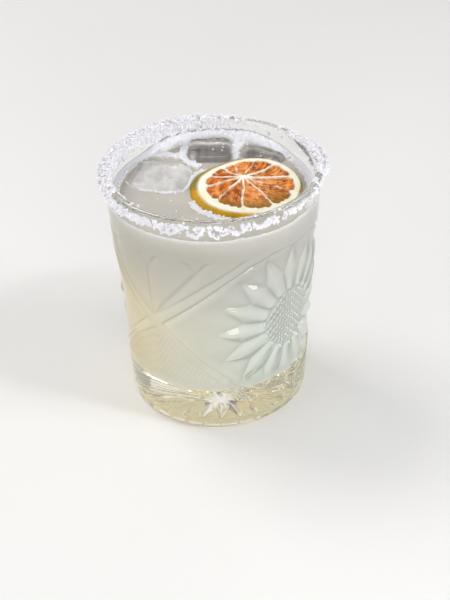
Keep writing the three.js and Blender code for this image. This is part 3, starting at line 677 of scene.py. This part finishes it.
def build_bubbles(material):
    places, sizes = [], []
    while len(places) < BUBBLE_COUNT:
        radius, azimuth = BUBBLE_REACH * math.sqrt(rng.random()), rng.uniform(0, 2 * math.pi)
        x, y = np.array([radius * math.sin(azimuth)]), np.array([-radius * math.cos(azimuth)])
        share, height = foam_at(x, y)
        if any(inside_ice(x, y, DRINK_LEVEL, name, -0.3)[0] > 0 for name in ICE):
            continue
        near_edge = 0.05 < share[0] < 0.95
        if rng.random() > (EDGE_CHANCE if near_edge else FOAM_CHANCE * share[0] + OPEN_CHANCE):
            continue
        size = rng.uniform(*BUBBLE_SIZE) * (1.4 if near_edge else 1)
        places.append((x[0], y[0], DRINK_LEVEL + height[0] + 0.25 * size))
        sizes.append(size)
    for name, count in ICE_BUBBLES.items():
        centre, size, turn, lean = ICE[name]
        for _ in range(count):
            side = rng.uniform(-0.36, 0.36, 2)
            local = (side[0] * size[0], side[1] * size[1], size[2] / 2)
            places.append(tuple(ice_matrix(turn, lean) @ local + centre))
            sizes.append(rng.uniform(*ICE_BUBBLE_SIZE))
    turns = random_turns(len(places))
    scatter("foam_bubbles", [ball(2)], places, sizes, turns, material)


# Salt

# Where it clings, round the rim: azimuth, outer drop, outer cover, outer thickness, top cover, inner drop,
# inner cover, height on top
SALT_PLAN = np.array([
    [-187, 2.0, 0.30, 0.4, 0.55, 4.0, 0.50, 0.3],
    [-178, 3.0, 0.65, 0.8, 0.95, 4.2, 0.72, 0.8],
    [-150, 3.6, 0.90, 1.0, 1.00, 4.8, 0.74, 1.0],
    [-110, 4.6, 0.95, 1.4, 1.00, 5.0, 0.70, 1.0],
    [-90, 5.6, 0.90, 1.8, 0.90, 4.4, 0.60, 0.8],
    [-70, 6.2, 0.66, 1.5, 0.45, 3.2, 0.22, 0.6],
    [-45, 6.6, 0.50, 1.5, 0.14, 2.4, 0.04, 0.5],
    [-10, 6.8, 0.46, 1.5, 0.04, 2.0, 0.00, 0.4],
    [25, 6.2, 0.42, 1.4, 0.03, 2.0, 0.00, 0.4],
    [55, 5.2, 0.38, 1.2, 0.05, 2.0, 0.02, 0.4],
    [78, 4.2, 0.42, 1.2, 0.25, 1.8, 0.12, 0.4],
    [92, 7.0, 1.00, 2.4, 0.85, 2.0, 0.35, 0.6],
    [112, 6.6, 1.00, 2.6, 0.90, 2.0, 0.35, 0.6],
    [126, 3.4, 0.60, 1.0, 0.65, 2.0, 0.30, 0.4],
    [134, 2.0, 0.10, 0.3, 0.30, 4.0, 0.16, 0.2],
    [152, 2.0, 0.03, 0.2, 0.10, 6.0, 0.09, 0.1],
    [173, 2.0, 0.30, 0.4, 0.55, 4.0, 0.50, 0.3],
])
SALT_TOP = GLASS_HEIGHT - 0.6
SALT_TRIES = 50000
SALT_GRAINS = 14000
GRAIN_SIZE = (0.45, 1.1)
GRAIN_STAND = 0.22
COVER_GAIN = 1.05
FRONT_BARENESS = 0.75


def grain_shapes(count=9):
    """Salt grains: cubes with knocked corners and slightly different sides."""
    corners = np.array([(x, y, z) for x in (-1, 1) for y in (-1, 1) for z in (-1, 1)], float)
    sides = np.array([(0, 1, 3, 2), (4, 6, 7, 5), (0, 4, 5, 1), (2, 3, 7, 6), (0, 2, 6, 4), (1, 5, 7, 3)])
    shapes = []
    for _ in range(count):
        stretch = rng.uniform(0.6, 1.15, 3)
        shapes.append(((corners + rng.uniform(-0.28, 0.28, corners.shape)) * 0.5 * stretch, sides))
    return shapes


def by_side(outer, inner, at_outer, at_inner, at_top):
    """Picks a value for places outside the rim, inside it or on its lip."""
    return np.where(outer, at_outer, np.where(inner, at_inner, at_top))


def rim_places(azimuth, along, outer_drop, stand):
    """Places up the outside of the rim, over its lip and down its inside, standing off it by some mm."""
    outer, inner = along < outer_drop, along > outer_drop + LIP_THICKNESS
    z_outer = SALT_TOP - (outer_drop - along)
    z_inner = SALT_TOP - (along - outer_drop - LIP_THICKNESS)
    angle = np.clip((along - outer_drop) / LIP_THICKNESS, 0, 1) * math.pi
    over_lip = LIP_MIDDLE + (LIP_HALF + 0.7 * stand) * np.cos(angle)
    lip_height = GLASS_HEIGHT - LIP_ROUNDING + (LIP_ROUNDING + stand) * np.sin(angle)
    radii = wall_radius(z_outer) + stand, cavity_radius(z_inner) - stand * 0.9, over_lip
    return polar(azimuth, by_side(outer, inner, *radii), by_side(outer, inner, z_outer, z_inner, lip_height))


def build_salt(material):
    azimuth = rng.uniform(SALT_PLAN[0, 0], SALT_PLAN[-1, 0], SALT_TRIES)
    plan = [np.interp(azimuth, SALT_PLAN[:, 0], column) for column in SALT_PLAN.T[1:]]
    outer_drop, outer_cover, thick, top_cover, inner_drop, inner_cover, top_high = plan
    arc = np.radians(azimuth) * RIM_RADIUS
    inner_drop = inner_drop * (0.78 + 0.60 * lumps(arc, 0 * arc, 3.4, 12, 3))
    outer_drop = outer_drop * (0.84 + 0.26 * lumps(arc, 0 * arc + 9, 5.5, 13, 3))
    length = outer_drop + LIP_THICKNESS + inner_drop
    along = rng.random(SALT_TRIES) * length
    outer, inner = along < outer_drop, along > outer_drop + LIP_THICKNESS

    layer = rng.random(SALT_TRIES) ** 1.2
    at_front = smooth(-80, -50, azimuth) * smooth(88, 70, azimuth)
    bare_lip = at_front * outer * smooth(1.9, 0.7, outer_drop - along)
    cover = by_side(outer, inner, outer_cover, inner_cover, top_cover) * (1 - FRONT_BARENESS * bare_lip)
    clump = 0.5 + 0.34 * lumps(arc, along, 5.2, 14, 2) + 0.2 * lumps(arc, along, 1.9, 15, 2)
    clump = clump + rng.normal(0, 0.05, SALT_TRIES)
    fullness = smooth(0, 0.35, cover * COVER_GAIN - clump)
    taper = by_side(outer, inner, smooth(0, 2.2, along), smooth(0, 2.5, length - along), 1)
    rise = np.where(outer, thick, top_high) * (0.3 + 0.9 * fullness) * (0.4 + 0.6 * taper)

    chosen = np.flatnonzero(clump < cover * COVER_GAIN)[:SALT_GRAINS]
    places = rim_places(azimuth, along, outer_drop, GRAIN_STAND + layer * rise)[chosen]
    sizes = rng.uniform(*GRAIN_SIZE, len(chosen)) * (0.8 + 0.4 * rng.random(len(chosen)) ** 3)
    shapes = grain_shapes()
    piece = scatter("salt_grains", shapes, places, sizes, random_turns(len(chosen)), material)
    piece.data.polygons.foreach_set("use_smooth", np.zeros(len(piece.data.polygons), bool))
    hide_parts("salt_rim")


# Dried citrus wheel

WHEEL_COLUMNS = 480
FACE_ROWS = 74
PITH_WIDTH = 2.3
PITH_SWING = 0.6
PITH_WIDE_ANGLE = 260
PALE_ANGLE = 112
AMBER_ANGLE = 175
OLIVE_PATCHES = ((0.85, 285, 26), (0.7, 88, 24))
MARKS = ("flesh", "rind", "pale", "fibre", "amber")

# The rind's rings from below: radius, height, share of the face's shift and share of the rind's colour
RIND_PROFILE = [
    (WHEEL_FACE_RADIUS - 1.2, 0.0, 0.0, 0.2),
    (WHEEL_RADIUS - 1.4, 0.15, 0.0, 0.7),
    (WHEEL_RADIUS - 0.4, 0.7, 0.0, 1.0),
    (WHEEL_RADIUS, 1.4, 0.0, 1.0),
    (WHEEL_RADIUS, 2.4, 0.0, 1.0),
    (WHEEL_RADIUS - 0.15, 3.1, 0.1, 1.0),
    (WHEEL_FACE_RADIUS + 1.6, 3.65, 0.4, 1.0),
    (WHEEL_FACE_RADIUS + 0.95, 4.15, 0.7, 1.0),
    (WHEEL_FACE_RADIUS + 0.4, 4.55, 0.9, 0.6),
]


def wheel_point(angle, share, radius, on_face):
    a = np.radians(angle)
    lumpy = radius * (1 + 0.012 * np.sin(3 * a) + 0.01 * np.sin(5 * a + 1))
    middle = WHEEL_CENTRE + FACE_SHIFT * on_face + CORE_OFFSET * (1 - share)
    return middle[0] + lumpy * np.sin(a), middle[1] + lumpy * np.cos(a)


def wheel_height(y):
    return WHEEL_HEIGHT + WHEEL_SLOPE * (y - WHEEL_CENTRE[1])


def wheel_row(angle, share, radius, height, on_face=1.0):
    """A ring of points. share is 0 at the core and 1 at the edge, on_face 0 underneath and 1 on the face."""
    x, y = wheel_point(angle, share, radius, on_face)
    warp = 0.35 * np.sin(2 * np.radians(angle) + 0.7) + 0.2 * np.sin(3 * np.radians(angle))
    return np.stack([x, y, wheel_height(y) + height + share * warp], axis=-1)


def membrane_distance(angle, share):
    """Distance from the nearest membrane, in mm, and the number of the segment."""
    bent = angle + 2.5 * np.sin(share * 7 + np.radians(angle) * 2)
    edges = np.concatenate([SEGMENT_EDGES - 360, SEGMENT_EDGES, SEGMENT_EDGES + 360])
    number = np.searchsorted(edges, bent)
    nearest = np.minimum(bent - edges[number - 1], edges[number] - bent)
    return np.radians(nearest) * share * WHEEL_FACE_RADIUS, number % len(SEGMENT_EDGES)


def rind_rows(angle):
    """Rings of the underside and the rind, each with its marks."""
    around = np.radians(angle) * WHEEL_RADIUS
    for share in (0.2, 0.4, 0.6, 0.8):
        row = wheel_row(angle, share, (WHEEL_FACE_RADIUS - 1.6) * share, -WHEEL_THICKNESS, 0)
        yield row, {"flesh": 0.5, "fibre": 0.5}
    for radius, height, on_face, rind in RIND_PROFILE:
        pits = 0.16 * lumps(around, height * 4 + 0 * around, 2.2, 31, 2)
        pits = pits + 0.2 * lumps(around, 0 * around, 14, 32, 2)
        yield wheel_row(angle, 1.0, radius + pits, height - WHEEL_THICKNESS, on_face), {"rind": rind}
    height = 0.2 + 0.05 * lumps(around, 0 * around, 3, 33)
    yield wheel_row(angle, 1.0, WHEEL_FACE_RADIUS, height), {"rind": 0.12}


def face_row(angle, share):
    """A ring of the cut face and its marks: sunken flesh, uneven membranes and the pith outside them."""
    x, y = wheel_point(angle, share, WHEEL_FACE_RADIUS * share, 1)
    near, number = membrane_distance(angle, share)
    thin = 0.08 + 0.30 * np.sin(number * 2.3 + 0.4) ** 4 + 0.12 * lumps(x, y, 5, 34)
    torn = smooth(-0.3, 0.8, lumps(x, y, 6, 43, 2) + 0.6 * np.sin(number * 1.9 + 1.1))
    membrane = (1 - smooth(0, 0.45, near - thin)) * (1 - 0.7 * torn * smooth(0.12, 0.3, share))
    rounding = 1.3 * np.exp(-(near / 1.1) ** 2)
    pith = PITH_WIDTH + PITH_SWING * np.cos(np.radians(angle - PITH_WIDE_ANGLE))
    to_pith = (1 - share) * WHEEL_FACE_RADIUS - pith - rounding - 0.35 * lumps(x, y, 4, 35)
    core = smooth(0.9, 2.2, share * WHEEL_FACE_RADIUS - 0.5 * lumps(x, y, 2, 36))
    flesh = (1 - membrane) * smooth(0, 0.6, to_pith) * core

    wrinkle = lumps(x, y, 3.2, 37) + 0.6 * lumps(np.radians(angle) * 14, share * 3, 1.4, 38)
    sink = 0.5 + 0.6 * np.sin(number * 2.4) ** 2
    height = 0.25 + 0.12 * lumps(x, y, 2.5, 39) - flesh * (sink + 0.42 * wrinkle)
    height = height + 0.35 * smooth(0.2, 0, share) * (1 - flesh)

    towards_right = np.cos(np.radians(angle - PALE_ANGLE)) * smooth(0.95, 0.35, share)
    near_core = smooth(0.5, 0.15, share)
    pale = flesh * smooth(-0.1, 1.3, wrinkle + 0.5 * towards_right + 0.5 * near_core)
    strands = lumps(np.radians(angle) * (9 + 11 * share), share * 2.2, 1.6, 40, 2)
    strands = strands + 0.6 * lumps(x, y, 5, 41, 2)
    edge_dark = 0.3 * np.exp(-near / 0.9) + 0.25 * np.exp(-np.maximum(to_pith, 0) / 0.9)
    fibre = np.clip(0.52 + 0.4 * strands + 0.16 * np.sin(number * 3.7 + 2) - edge_dark, 0, 1)
    amber = flesh * smooth(0.5, 0.9, share) * smooth(0.1, 0.9, np.cos(np.radians(angle - AMBER_ANGLE)))
    marks = {"flesh": flesh, "pale": pale, "fibre": fibre, "amber": amber}
    return wheel_row(angle, share, WHEEL_FACE_RADIUS * share, height), marks


def olive_patches(points):
    """Where the rind is olive: two patches on opposite sides, and a little all round."""
    x, y = points[:, 0], points[:, 1]
    turn = np.degrees(np.arctan2(x - WHEEL_CENTRE[0], y - WHEEL_CENTRE[1])) % 360
    olive = sum(share * np.exp(-((turn - middle) / half) ** 2) for share, middle, half in OLIVE_PATCHES)
    return np.clip(olive + 0.35 * lumps(x, y, 9, 42), 0, 1)


def build_wheel(material):
    angle = 360 - np.arange(WHEEL_COLUMNS) * 360 / WHEEL_COLUMNS
    rings = list(rind_rows(angle))
    rings += [face_row(angle, share) for share in np.linspace(0.985, 0.03, FACE_ROWS)]
    core = WHEEL_CENTRE + FACE_SHIFT + CORE_OFFSET
    low_pole = (*WHEEL_CENTRE, WHEEL_HEIGHT - WHEEL_THICKNESS)
    high_pole = (*core, wheel_height(core[1]) + 0.45)
    points, faces = closed_grid(np.stack([row for row, _ in rings]), low_pole, high_pole)
    faces = [f[:, ::-1] for f in faces]
    marks = {"olive": olive_patches(points)}
    for key in MARKS:
        by_ring = [values.get(key, 0.0) * np.ones(WHEEL_COLUMNS) for _, values in rings]
        marks[key] = np.concatenate(by_ring + [[0, 0]])
    piece = make_piece("citrus_wheel_dried", points, faces, [material], marks)
    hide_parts("citrus_wheel")


# Shader helpers


def new_material(name, **values):
    """A material, its node tree and its shader, with values by socket name, underscores for spaces."""
    material = bpy.data.materials.new(name)
    material.use_nodes = True
    tree = material.node_tree
    shader = tree.nodes["Principled BSDF"]
    for key, value in values.items():
        shader.inputs[key.replace("_", " ")].default_value = value
    return material, tree, shader


def add_node(tree, kind, **values):
    node = tree.nodes.new(kind)
    for key, value in values.items():
        if key in node.inputs:
            node.inputs[key].default_value = value
        else:
            setattr(node, key, value)
    return node


def noise(tree, scale, detail=3.0, roughness=0.55):
    place = add_node(tree, "ShaderNodeTexCoord")
    made = add_node(tree, "ShaderNodeTexNoise", Scale=scale, Detail=detail, Roughness=roughness)
    tree.links.new(place.outputs["Object"], made.inputs["Vector"])
    return made.outputs["Fac"]


def ramp(tree, source, *stops):
    """A colour ramp over a value, from stops that are each a place and a colour."""
    made = add_node(tree, "ShaderNodeValToRGB")
    elements = made.color_ramp.elements
    while len(elements) < len(stops):
        elements.new(0.5)
    for element, (place, colour) in zip(elements, stops):
        element.position = place
        element.color = (*colour, 1)
    tree.links.new(source, made.inputs["Fac"])
    return made.outputs["Color"]


def mix(tree, share, first, second, blend="MIX"):
    made = add_node(tree, "ShaderNodeMix", data_type="RGBA", blend_type=blend)
    for socket, value in ((made.inputs[0], share), (made.inputs[6], first), (made.inputs[7], second)):
        if isinstance(value, bpy.types.NodeSocket):
            tree.links.new(value, socket)
        else:
            socket.default_value = (*value, 1) if isinstance(value, tuple) else value
    return made.outputs[2]


def mix_values(tree, share, first, second):
    made = add_node(tree, "ShaderNodeMix", data_type="FLOAT")
    made.inputs[0].default_value = share
    tree.links.new(first, made.inputs[2])
    tree.links.new(second, made.inputs[3])
    return made.outputs[0]


def attribute(tree, name):
    return add_node(tree, "ShaderNodeAttribute", attribute_name=name).outputs["Fac"]


def map_range(tree, source, low, high, to_low=0.0, to_high=1.0):
    ends = {"From Min": low, "From Max": high, "To Min": to_low, "To Max": to_high}
    made = add_node(tree, "ShaderNodeMapRange", **ends)
    tree.links.new(source, made.inputs["Value"])
    return made.outputs["Result"]


def along_axis(tree, axis, low, high, space="Object"):
    """0 to 1 between two places on an axis, in metres for an object."""
    place = add_node(tree, "ShaderNodeTexCoord")
    split = add_node(tree, "ShaderNodeSeparateXYZ")
    tree.links.new(place.outputs[space], split.inputs["Vector"])
    return map_range(tree, split.outputs[axis], low, high)


def paint(tree, shader, colour):
    tree.links.new(colour, shader.inputs["Base Color"])


def bump(tree, shader, height, strength, distance):
    made = add_node(tree, "ShaderNodeBump", Strength=strength, Distance=distance)
    tree.links.new(height, made.inputs["Height"])
    tree.links.new(made.outputs["Normal"], shader.inputs["Normal"])


# Materials


def glass_material():
    clear = {"Base Color": (0.985, 0.987, 0.972, 1), "Transmission Weight": 1}
    material, tree, shader = new_material("pressed_glass", Roughness=0.015, IOR=1.5, **clear)
    bump(tree, shader, noise(tree, 150, 1), 0.02, 0.0002)
    depth = add_node(tree, "ShaderNodeVolumeAbsorption", Color=(0.985, 0.94, 0.74, 1), Density=6.0)
    tree.links.new(depth.outputs["Volume"], tree.nodes["Material Output"].inputs["Volume"])
    return material


def drink_colour(tree):
    """Cloudy lime juice: greyer near the top, yellower low on the left, greener low on the right."""
    yellow, middle, green = (1.0, 0.87, 0.50), (0.93, 0.91, 0.79), (0.80, 0.85, 0.81)
    low = ramp(tree, along_axis(tree, "X", -0.04, 0.015), (0.0, yellow), (0.42, middle), (1.0, green))
    body = mix(tree, along_axis(tree, "Z", 0.05, 0.088), low, (0.78, 0.76, 0.73))
    cloud = ramp(tree, noise(tree, 60, 4), (0.3, (0.95, 0.95, 0.94)), (0.7, (1.0, 1.0, 1.0)))
    return mix(tree, 1.0, body, cloud, "MULTIPLY")


CLOUDY = {
    "Roughness": 0.6,
    "Specular IOR Level": 0.0,
    "Subsurface Weight": 1.0,
    "Subsurface Radius": (1.0, 0.97, 0.8),
    "Subsurface Scale": 0.02,
}


def drink_body_material():
    """The drink's side and floor, which glow with painted light: most at the floor, where the thick base
    would hand light on to them, less up the side and least near the top.
    """
    material, tree, shader = new_material("lime_drink", Emission_Strength=1.0, **CLOUDY)
    bright, even, dark = (1, 1, 1), (0.88, 0.88, 0.88), (0.56, 0.57, 0.54)
    # Painted light and shade from the relief, multiplied into the drink's colour
    light = ramp(tree, attribute(tree, "focus"), (0.05, bright), (0.5, even), (1.0, dark))
    body = mix(tree, 1.0, drink_colour(tree), light, "MULTIPLY")
    foam_line = ramp(tree, attribute(tree, "foam"), (0.1, (0, 0, 0)), (0.6, (1, 1, 1)))
    paint(tree, shader, mix(tree, foam_line, body, (0.96, 0.96, 1.0)))
    # Colours of the painted glow at the floor, up the side and near the top
    floor, side, top = (0.32, 0.27, 0.165), (0.11, 0.107, 0.098), (0.02, 0.02, 0.019)
    height = along_axis(tree, "Z", 0.0, 0.1)
    glow = ramp(tree, height, (0.172, floor), (0.21, side), (0.55, side), (0.88, top))
    tree.links.new(glow, shader.inputs["Emission Color"])
    return material


def drink_top_material():
    material, tree, shader = new_material("lime_drink_surface", IOR=1.34)
    cloud = ramp(tree, noise(tree, 60, 4), (0.3, (0.52, 0.485, 0.43)), (0.7, (0.565, 0.53, 0.47)))
    sunk = attribute(tree, "sunk")
    # Under the ice the surface is painted lighter, as painted light where the ice would shade it, fading
    # back towards the open surface's tone in the deepest pockets
    under_ice = ramp(tree, sunk, (0.18, (0.98, 0.95, 0.93)), (0.5, (0.50, 0.46, 0.45)))
    surface = mix(tree, map_range(tree, sunk, 0.05, 0.14), cloud, under_ice)
    foam = ramp(tree, noise(tree, 900, 2), (0.35, (0.76, 0.76, 0.80)), (0.6, (0.86, 0.86, 0.91)))
    in_foam = attribute(tree, "foam")
    paint(tree, shader, mix(tree, in_foam, surface, foam))
    tree.links.new(map_range(tree, in_foam, 0.0, 1.0, 0.06, 0.45), shader.inputs["Roughness"])
    bump(tree, shader, noise(tree, 700, 3), 0.15, 0.0004)
    return material


def ice_material():
    clear = {"Base Color": (0.97, 0.98, 0.965, 1), "Transmission Weight": 1}
    material, tree, shader = new_material("clear_ice", Roughness=0.03, IOR=1.31, **clear)
    bump(tree, shader, noise(tree, 130, 3), 0.3, 0.0008)
    return material


def bubble_material():
    material, tree, shader = new_material("foam_bubble", Roughness=0.08)
    colour = ramp(tree, noise(tree, 400, 2), (0.3, (0.86, 0.87, 0.84)), (0.7, (0.96, 0.96, 0.97)))
    paint(tree, shader, colour)
    return material


def salt_material():
    material, tree, shader = new_material("salt_crystals", Roughness=0.35)
    colour = ramp(tree, noise(tree, 500, 3), (0.3, (0.77, 0.76, 0.80)), (0.65, (0.89, 0.88, 0.92)))
    paint(tree, shader, colour)
    return material


FLESH_STOPS = [
    (0.28, (0.30, 0.065, 0.006)),
    (0.43, (0.56, 0.14, 0.012)),
    (0.58, (0.78, 0.23, 0.03)),
    (0.75, (0.92, 0.44, 0.14)),
]


def flesh_colour(tree):
    """Dried flesh, dark to light along its fibres, with pale streaks and amber by the rind in front."""
    fibres = mix_values(tree, 0.3, attribute(tree, "fibre"), noise(tree, 380, 5, 0.6))
    flesh = ramp(tree, fibres, *FLESH_STOPS)
    pale = ramp(tree, noise(tree, 600, 4), (0.35, (0.83, 0.33, 0.08)), (0.65, (0.94, 0.56, 0.27)))
    flesh = mix(tree, attribute(tree, "pale"), flesh, pale)
    return mix(tree, attribute(tree, "amber"), flesh, (0.30, 0.15, 0.01))


def rind_colour(tree):
    dark, middle, light = (0.35, 0.26, 0.005), (0.54, 0.30, 0.0), (0.70, 0.34, 0.0)
    rind = ramp(tree, noise(tree, 55, 3), (0.36, dark), (0.45, middle), (0.6, light))
    return mix(tree, attribute(tree, "olive"), rind, (0.20, 0.19, 0.02))


def citrus_material():
    material, tree, shader = new_material("dried_citrus", Roughness=0.45, Specular_IOR_Level=0.18)
    pith = ramp(tree, noise(tree, 260, 4), (0.3, (0.91, 0.84, 0.58)), (0.6, (0.98, 0.95, 0.83)))
    colour = mix(tree, attribute(tree, "flesh"), pith, flesh_colour(tree))
    paint(tree, shader, mix(tree, attribute(tree, "rind"), colour, rind_colour(tree)))
    bump(tree, shader, noise(tree, 900, 4), 0.35, 0.0004)
    return material


def floor_material():
    material, tree, shader = new_material("pale_floor", Roughness=0.7)
    colour = ramp(tree, noise(tree, 3, 4), (0.3, (0.80, 0.79, 0.775)), (0.7, (0.83, 0.82, 0.805)))
    paint(tree, shader, colour)
    return material


# Stage, camera and light

FOCAL_PIXELS = 1500.0
IMAGE_HEIGHT = 600
CAMERA_DISTANCE = 638.9
CAMERA_PITCH = math.radians(33.96)
CAMERA_ROLL = math.radians(-1.86)
CAMERA_SHIFT = (3.4, -8.18)
CAMERA_TARGET = np.array([0, 0, 50.0])
FLOOR_HALF = 4.0
FLOOR_HEIGHT = -0.2
SKY_STRENGTH = 0.62
SKY_STOPS = [
    (0.09, (1.0, 0.99, 0.98)),
    (0.14, (0.34, 0.33, 0.32)),
    (0.45, (0.5, 0.5, 0.51)),
    (0.9, (0.82, 0.83, 0.86)),
]
EXPOSURE = -0.15
LIGHT_BOUNCES = 20

# Each light's place, aim and size in metres, its power in watts and its colour
LIGHTS = {
    "key": ((-0.5, 0.35, 0.9), (0, 0, 0.06), (0.5, 0.5), 5.0, (1.0, 0.985, 0.96)),
    "right_panel": ((0.85, -0.30, 0.34), (0, 0, 0.05), (0.35, 0.36), 4.0, (0.97, 0.99, 1.0)),
    "left_fill": ((-1.1, -0.5, 0.35), (0, 0, 0.05), (1.4, 1.0), 5.5, (1.0, 0.99, 0.96)),
    "front_panel": ((0.08, -0.95, 0.34), (0, 0, 0.05), (0.60, 0.28), 4.3, (1.0, 1.0, 0.98)),
    "back_fill": ((0.3, 1.7, 0.75), (0, 0, 0.08), (2.0, 1.2), 4.5, (1.0, 1.0, 1.0)),
    "glint_panel": ((0.55, -0.35, 1.0), (0, 0, 0.05), (0.12, 0.12), 2.0, (1.0, 1.0, 1.0)),
}


def build_camera():
    back = np.array([0, -math.cos(CAMERA_PITCH), math.sin(CAMERA_PITCH)])
    right = np.array([1.0, 0, 0])
    up = np.cross(back, right)
    target = CAMERA_TARGET + right * CAMERA_SHIFT[0] + up * CAMERA_SHIFT[1]
    turned_right = math.cos(CAMERA_ROLL) * right + math.sin(CAMERA_ROLL) * up
    turned_up = -math.sin(CAMERA_ROLL) * right + math.cos(CAMERA_ROLL) * up
    data = bpy.data.cameras.new("camera")
    data.sensor_width = 36
    data.lens = FOCAL_PIXELS * data.sensor_width / IMAGE_HEIGHT
    data.clip_start, data.clip_end = 0.01, 20
    camera = new_object("camera", data)
    axes = Matrix([turned_right, turned_up, back]).transposed().to_4x4()
    camera.matrix_world = Matrix.Translation(Vector((target + back * CAMERA_DISTANCE) * MM)) @ axes
    bpy.context.scene.camera = camera


def build_floor():
    floor = bpy.data.meshes.new("floor")
    sides = ((-1, -1), (1, -1), (1, 1), (-1, 1))
    corners = [(x * FLOOR_HALF, y * FLOOR_HALF, FLOOR_HEIGHT * MM) for x, y in sides]
    floor.from_pydata(corners, [], [(0, 1, 2, 3)])
    floor.materials.append(floor_material())
    stand = new_object("floor", floor)


def build_sky():
    """Soft light from all round, dark just over the horizon so that the glass gets dark edges."""
    world = bpy.data.worlds.new("studio")
    bpy.context.scene.world = world
    world.use_nodes = True
    tree = world.node_tree
    height = along_axis(tree, "Z", -0.1, 1.0, "Generated")
    sky = tree.nodes["Background"]
    tree.links.new(ramp(tree, height, *SKY_STOPS), sky.inputs["Color"])
    sky.inputs["Strength"].default_value = SKY_STRENGTH


def build_lights():
    for name, (place, aim, size, power, colour) in LIGHTS.items():
        data = bpy.data.lights.new(name, "AREA")
        data.shape = "RECTANGLE"
        data.size, data.size_y = size
        data.energy = power
        data.color = colour
        light = new_object(name, data)
        light.location = place
        light.rotation_euler = (Vector(aim) - Vector(place)).to_track_quat("-Z", "Y").to_euler()


def set_view():
    scene = bpy.context.scene
    scene.view_settings.view_transform = "Standard"
    scene.view_settings.exposure = EXPOSURE
    scene.cycles.max_bounces = LIGHT_BOUNCES
    scene.cycles.transmission_bounces = LIGHT_BOUNCES


build_camera()
build_floor()
build_sky()
build_lights()
set_view()
build_tumbler(glass_material())
build_drink(drink_body_material(), drink_top_material())
clear_ice = ice_material()
for cube in ICE:
    build_ice(cube, clear_ice)
build_bubbles(bubble_material())
build_wheel(citrus_material())
build_salt(salt_material())
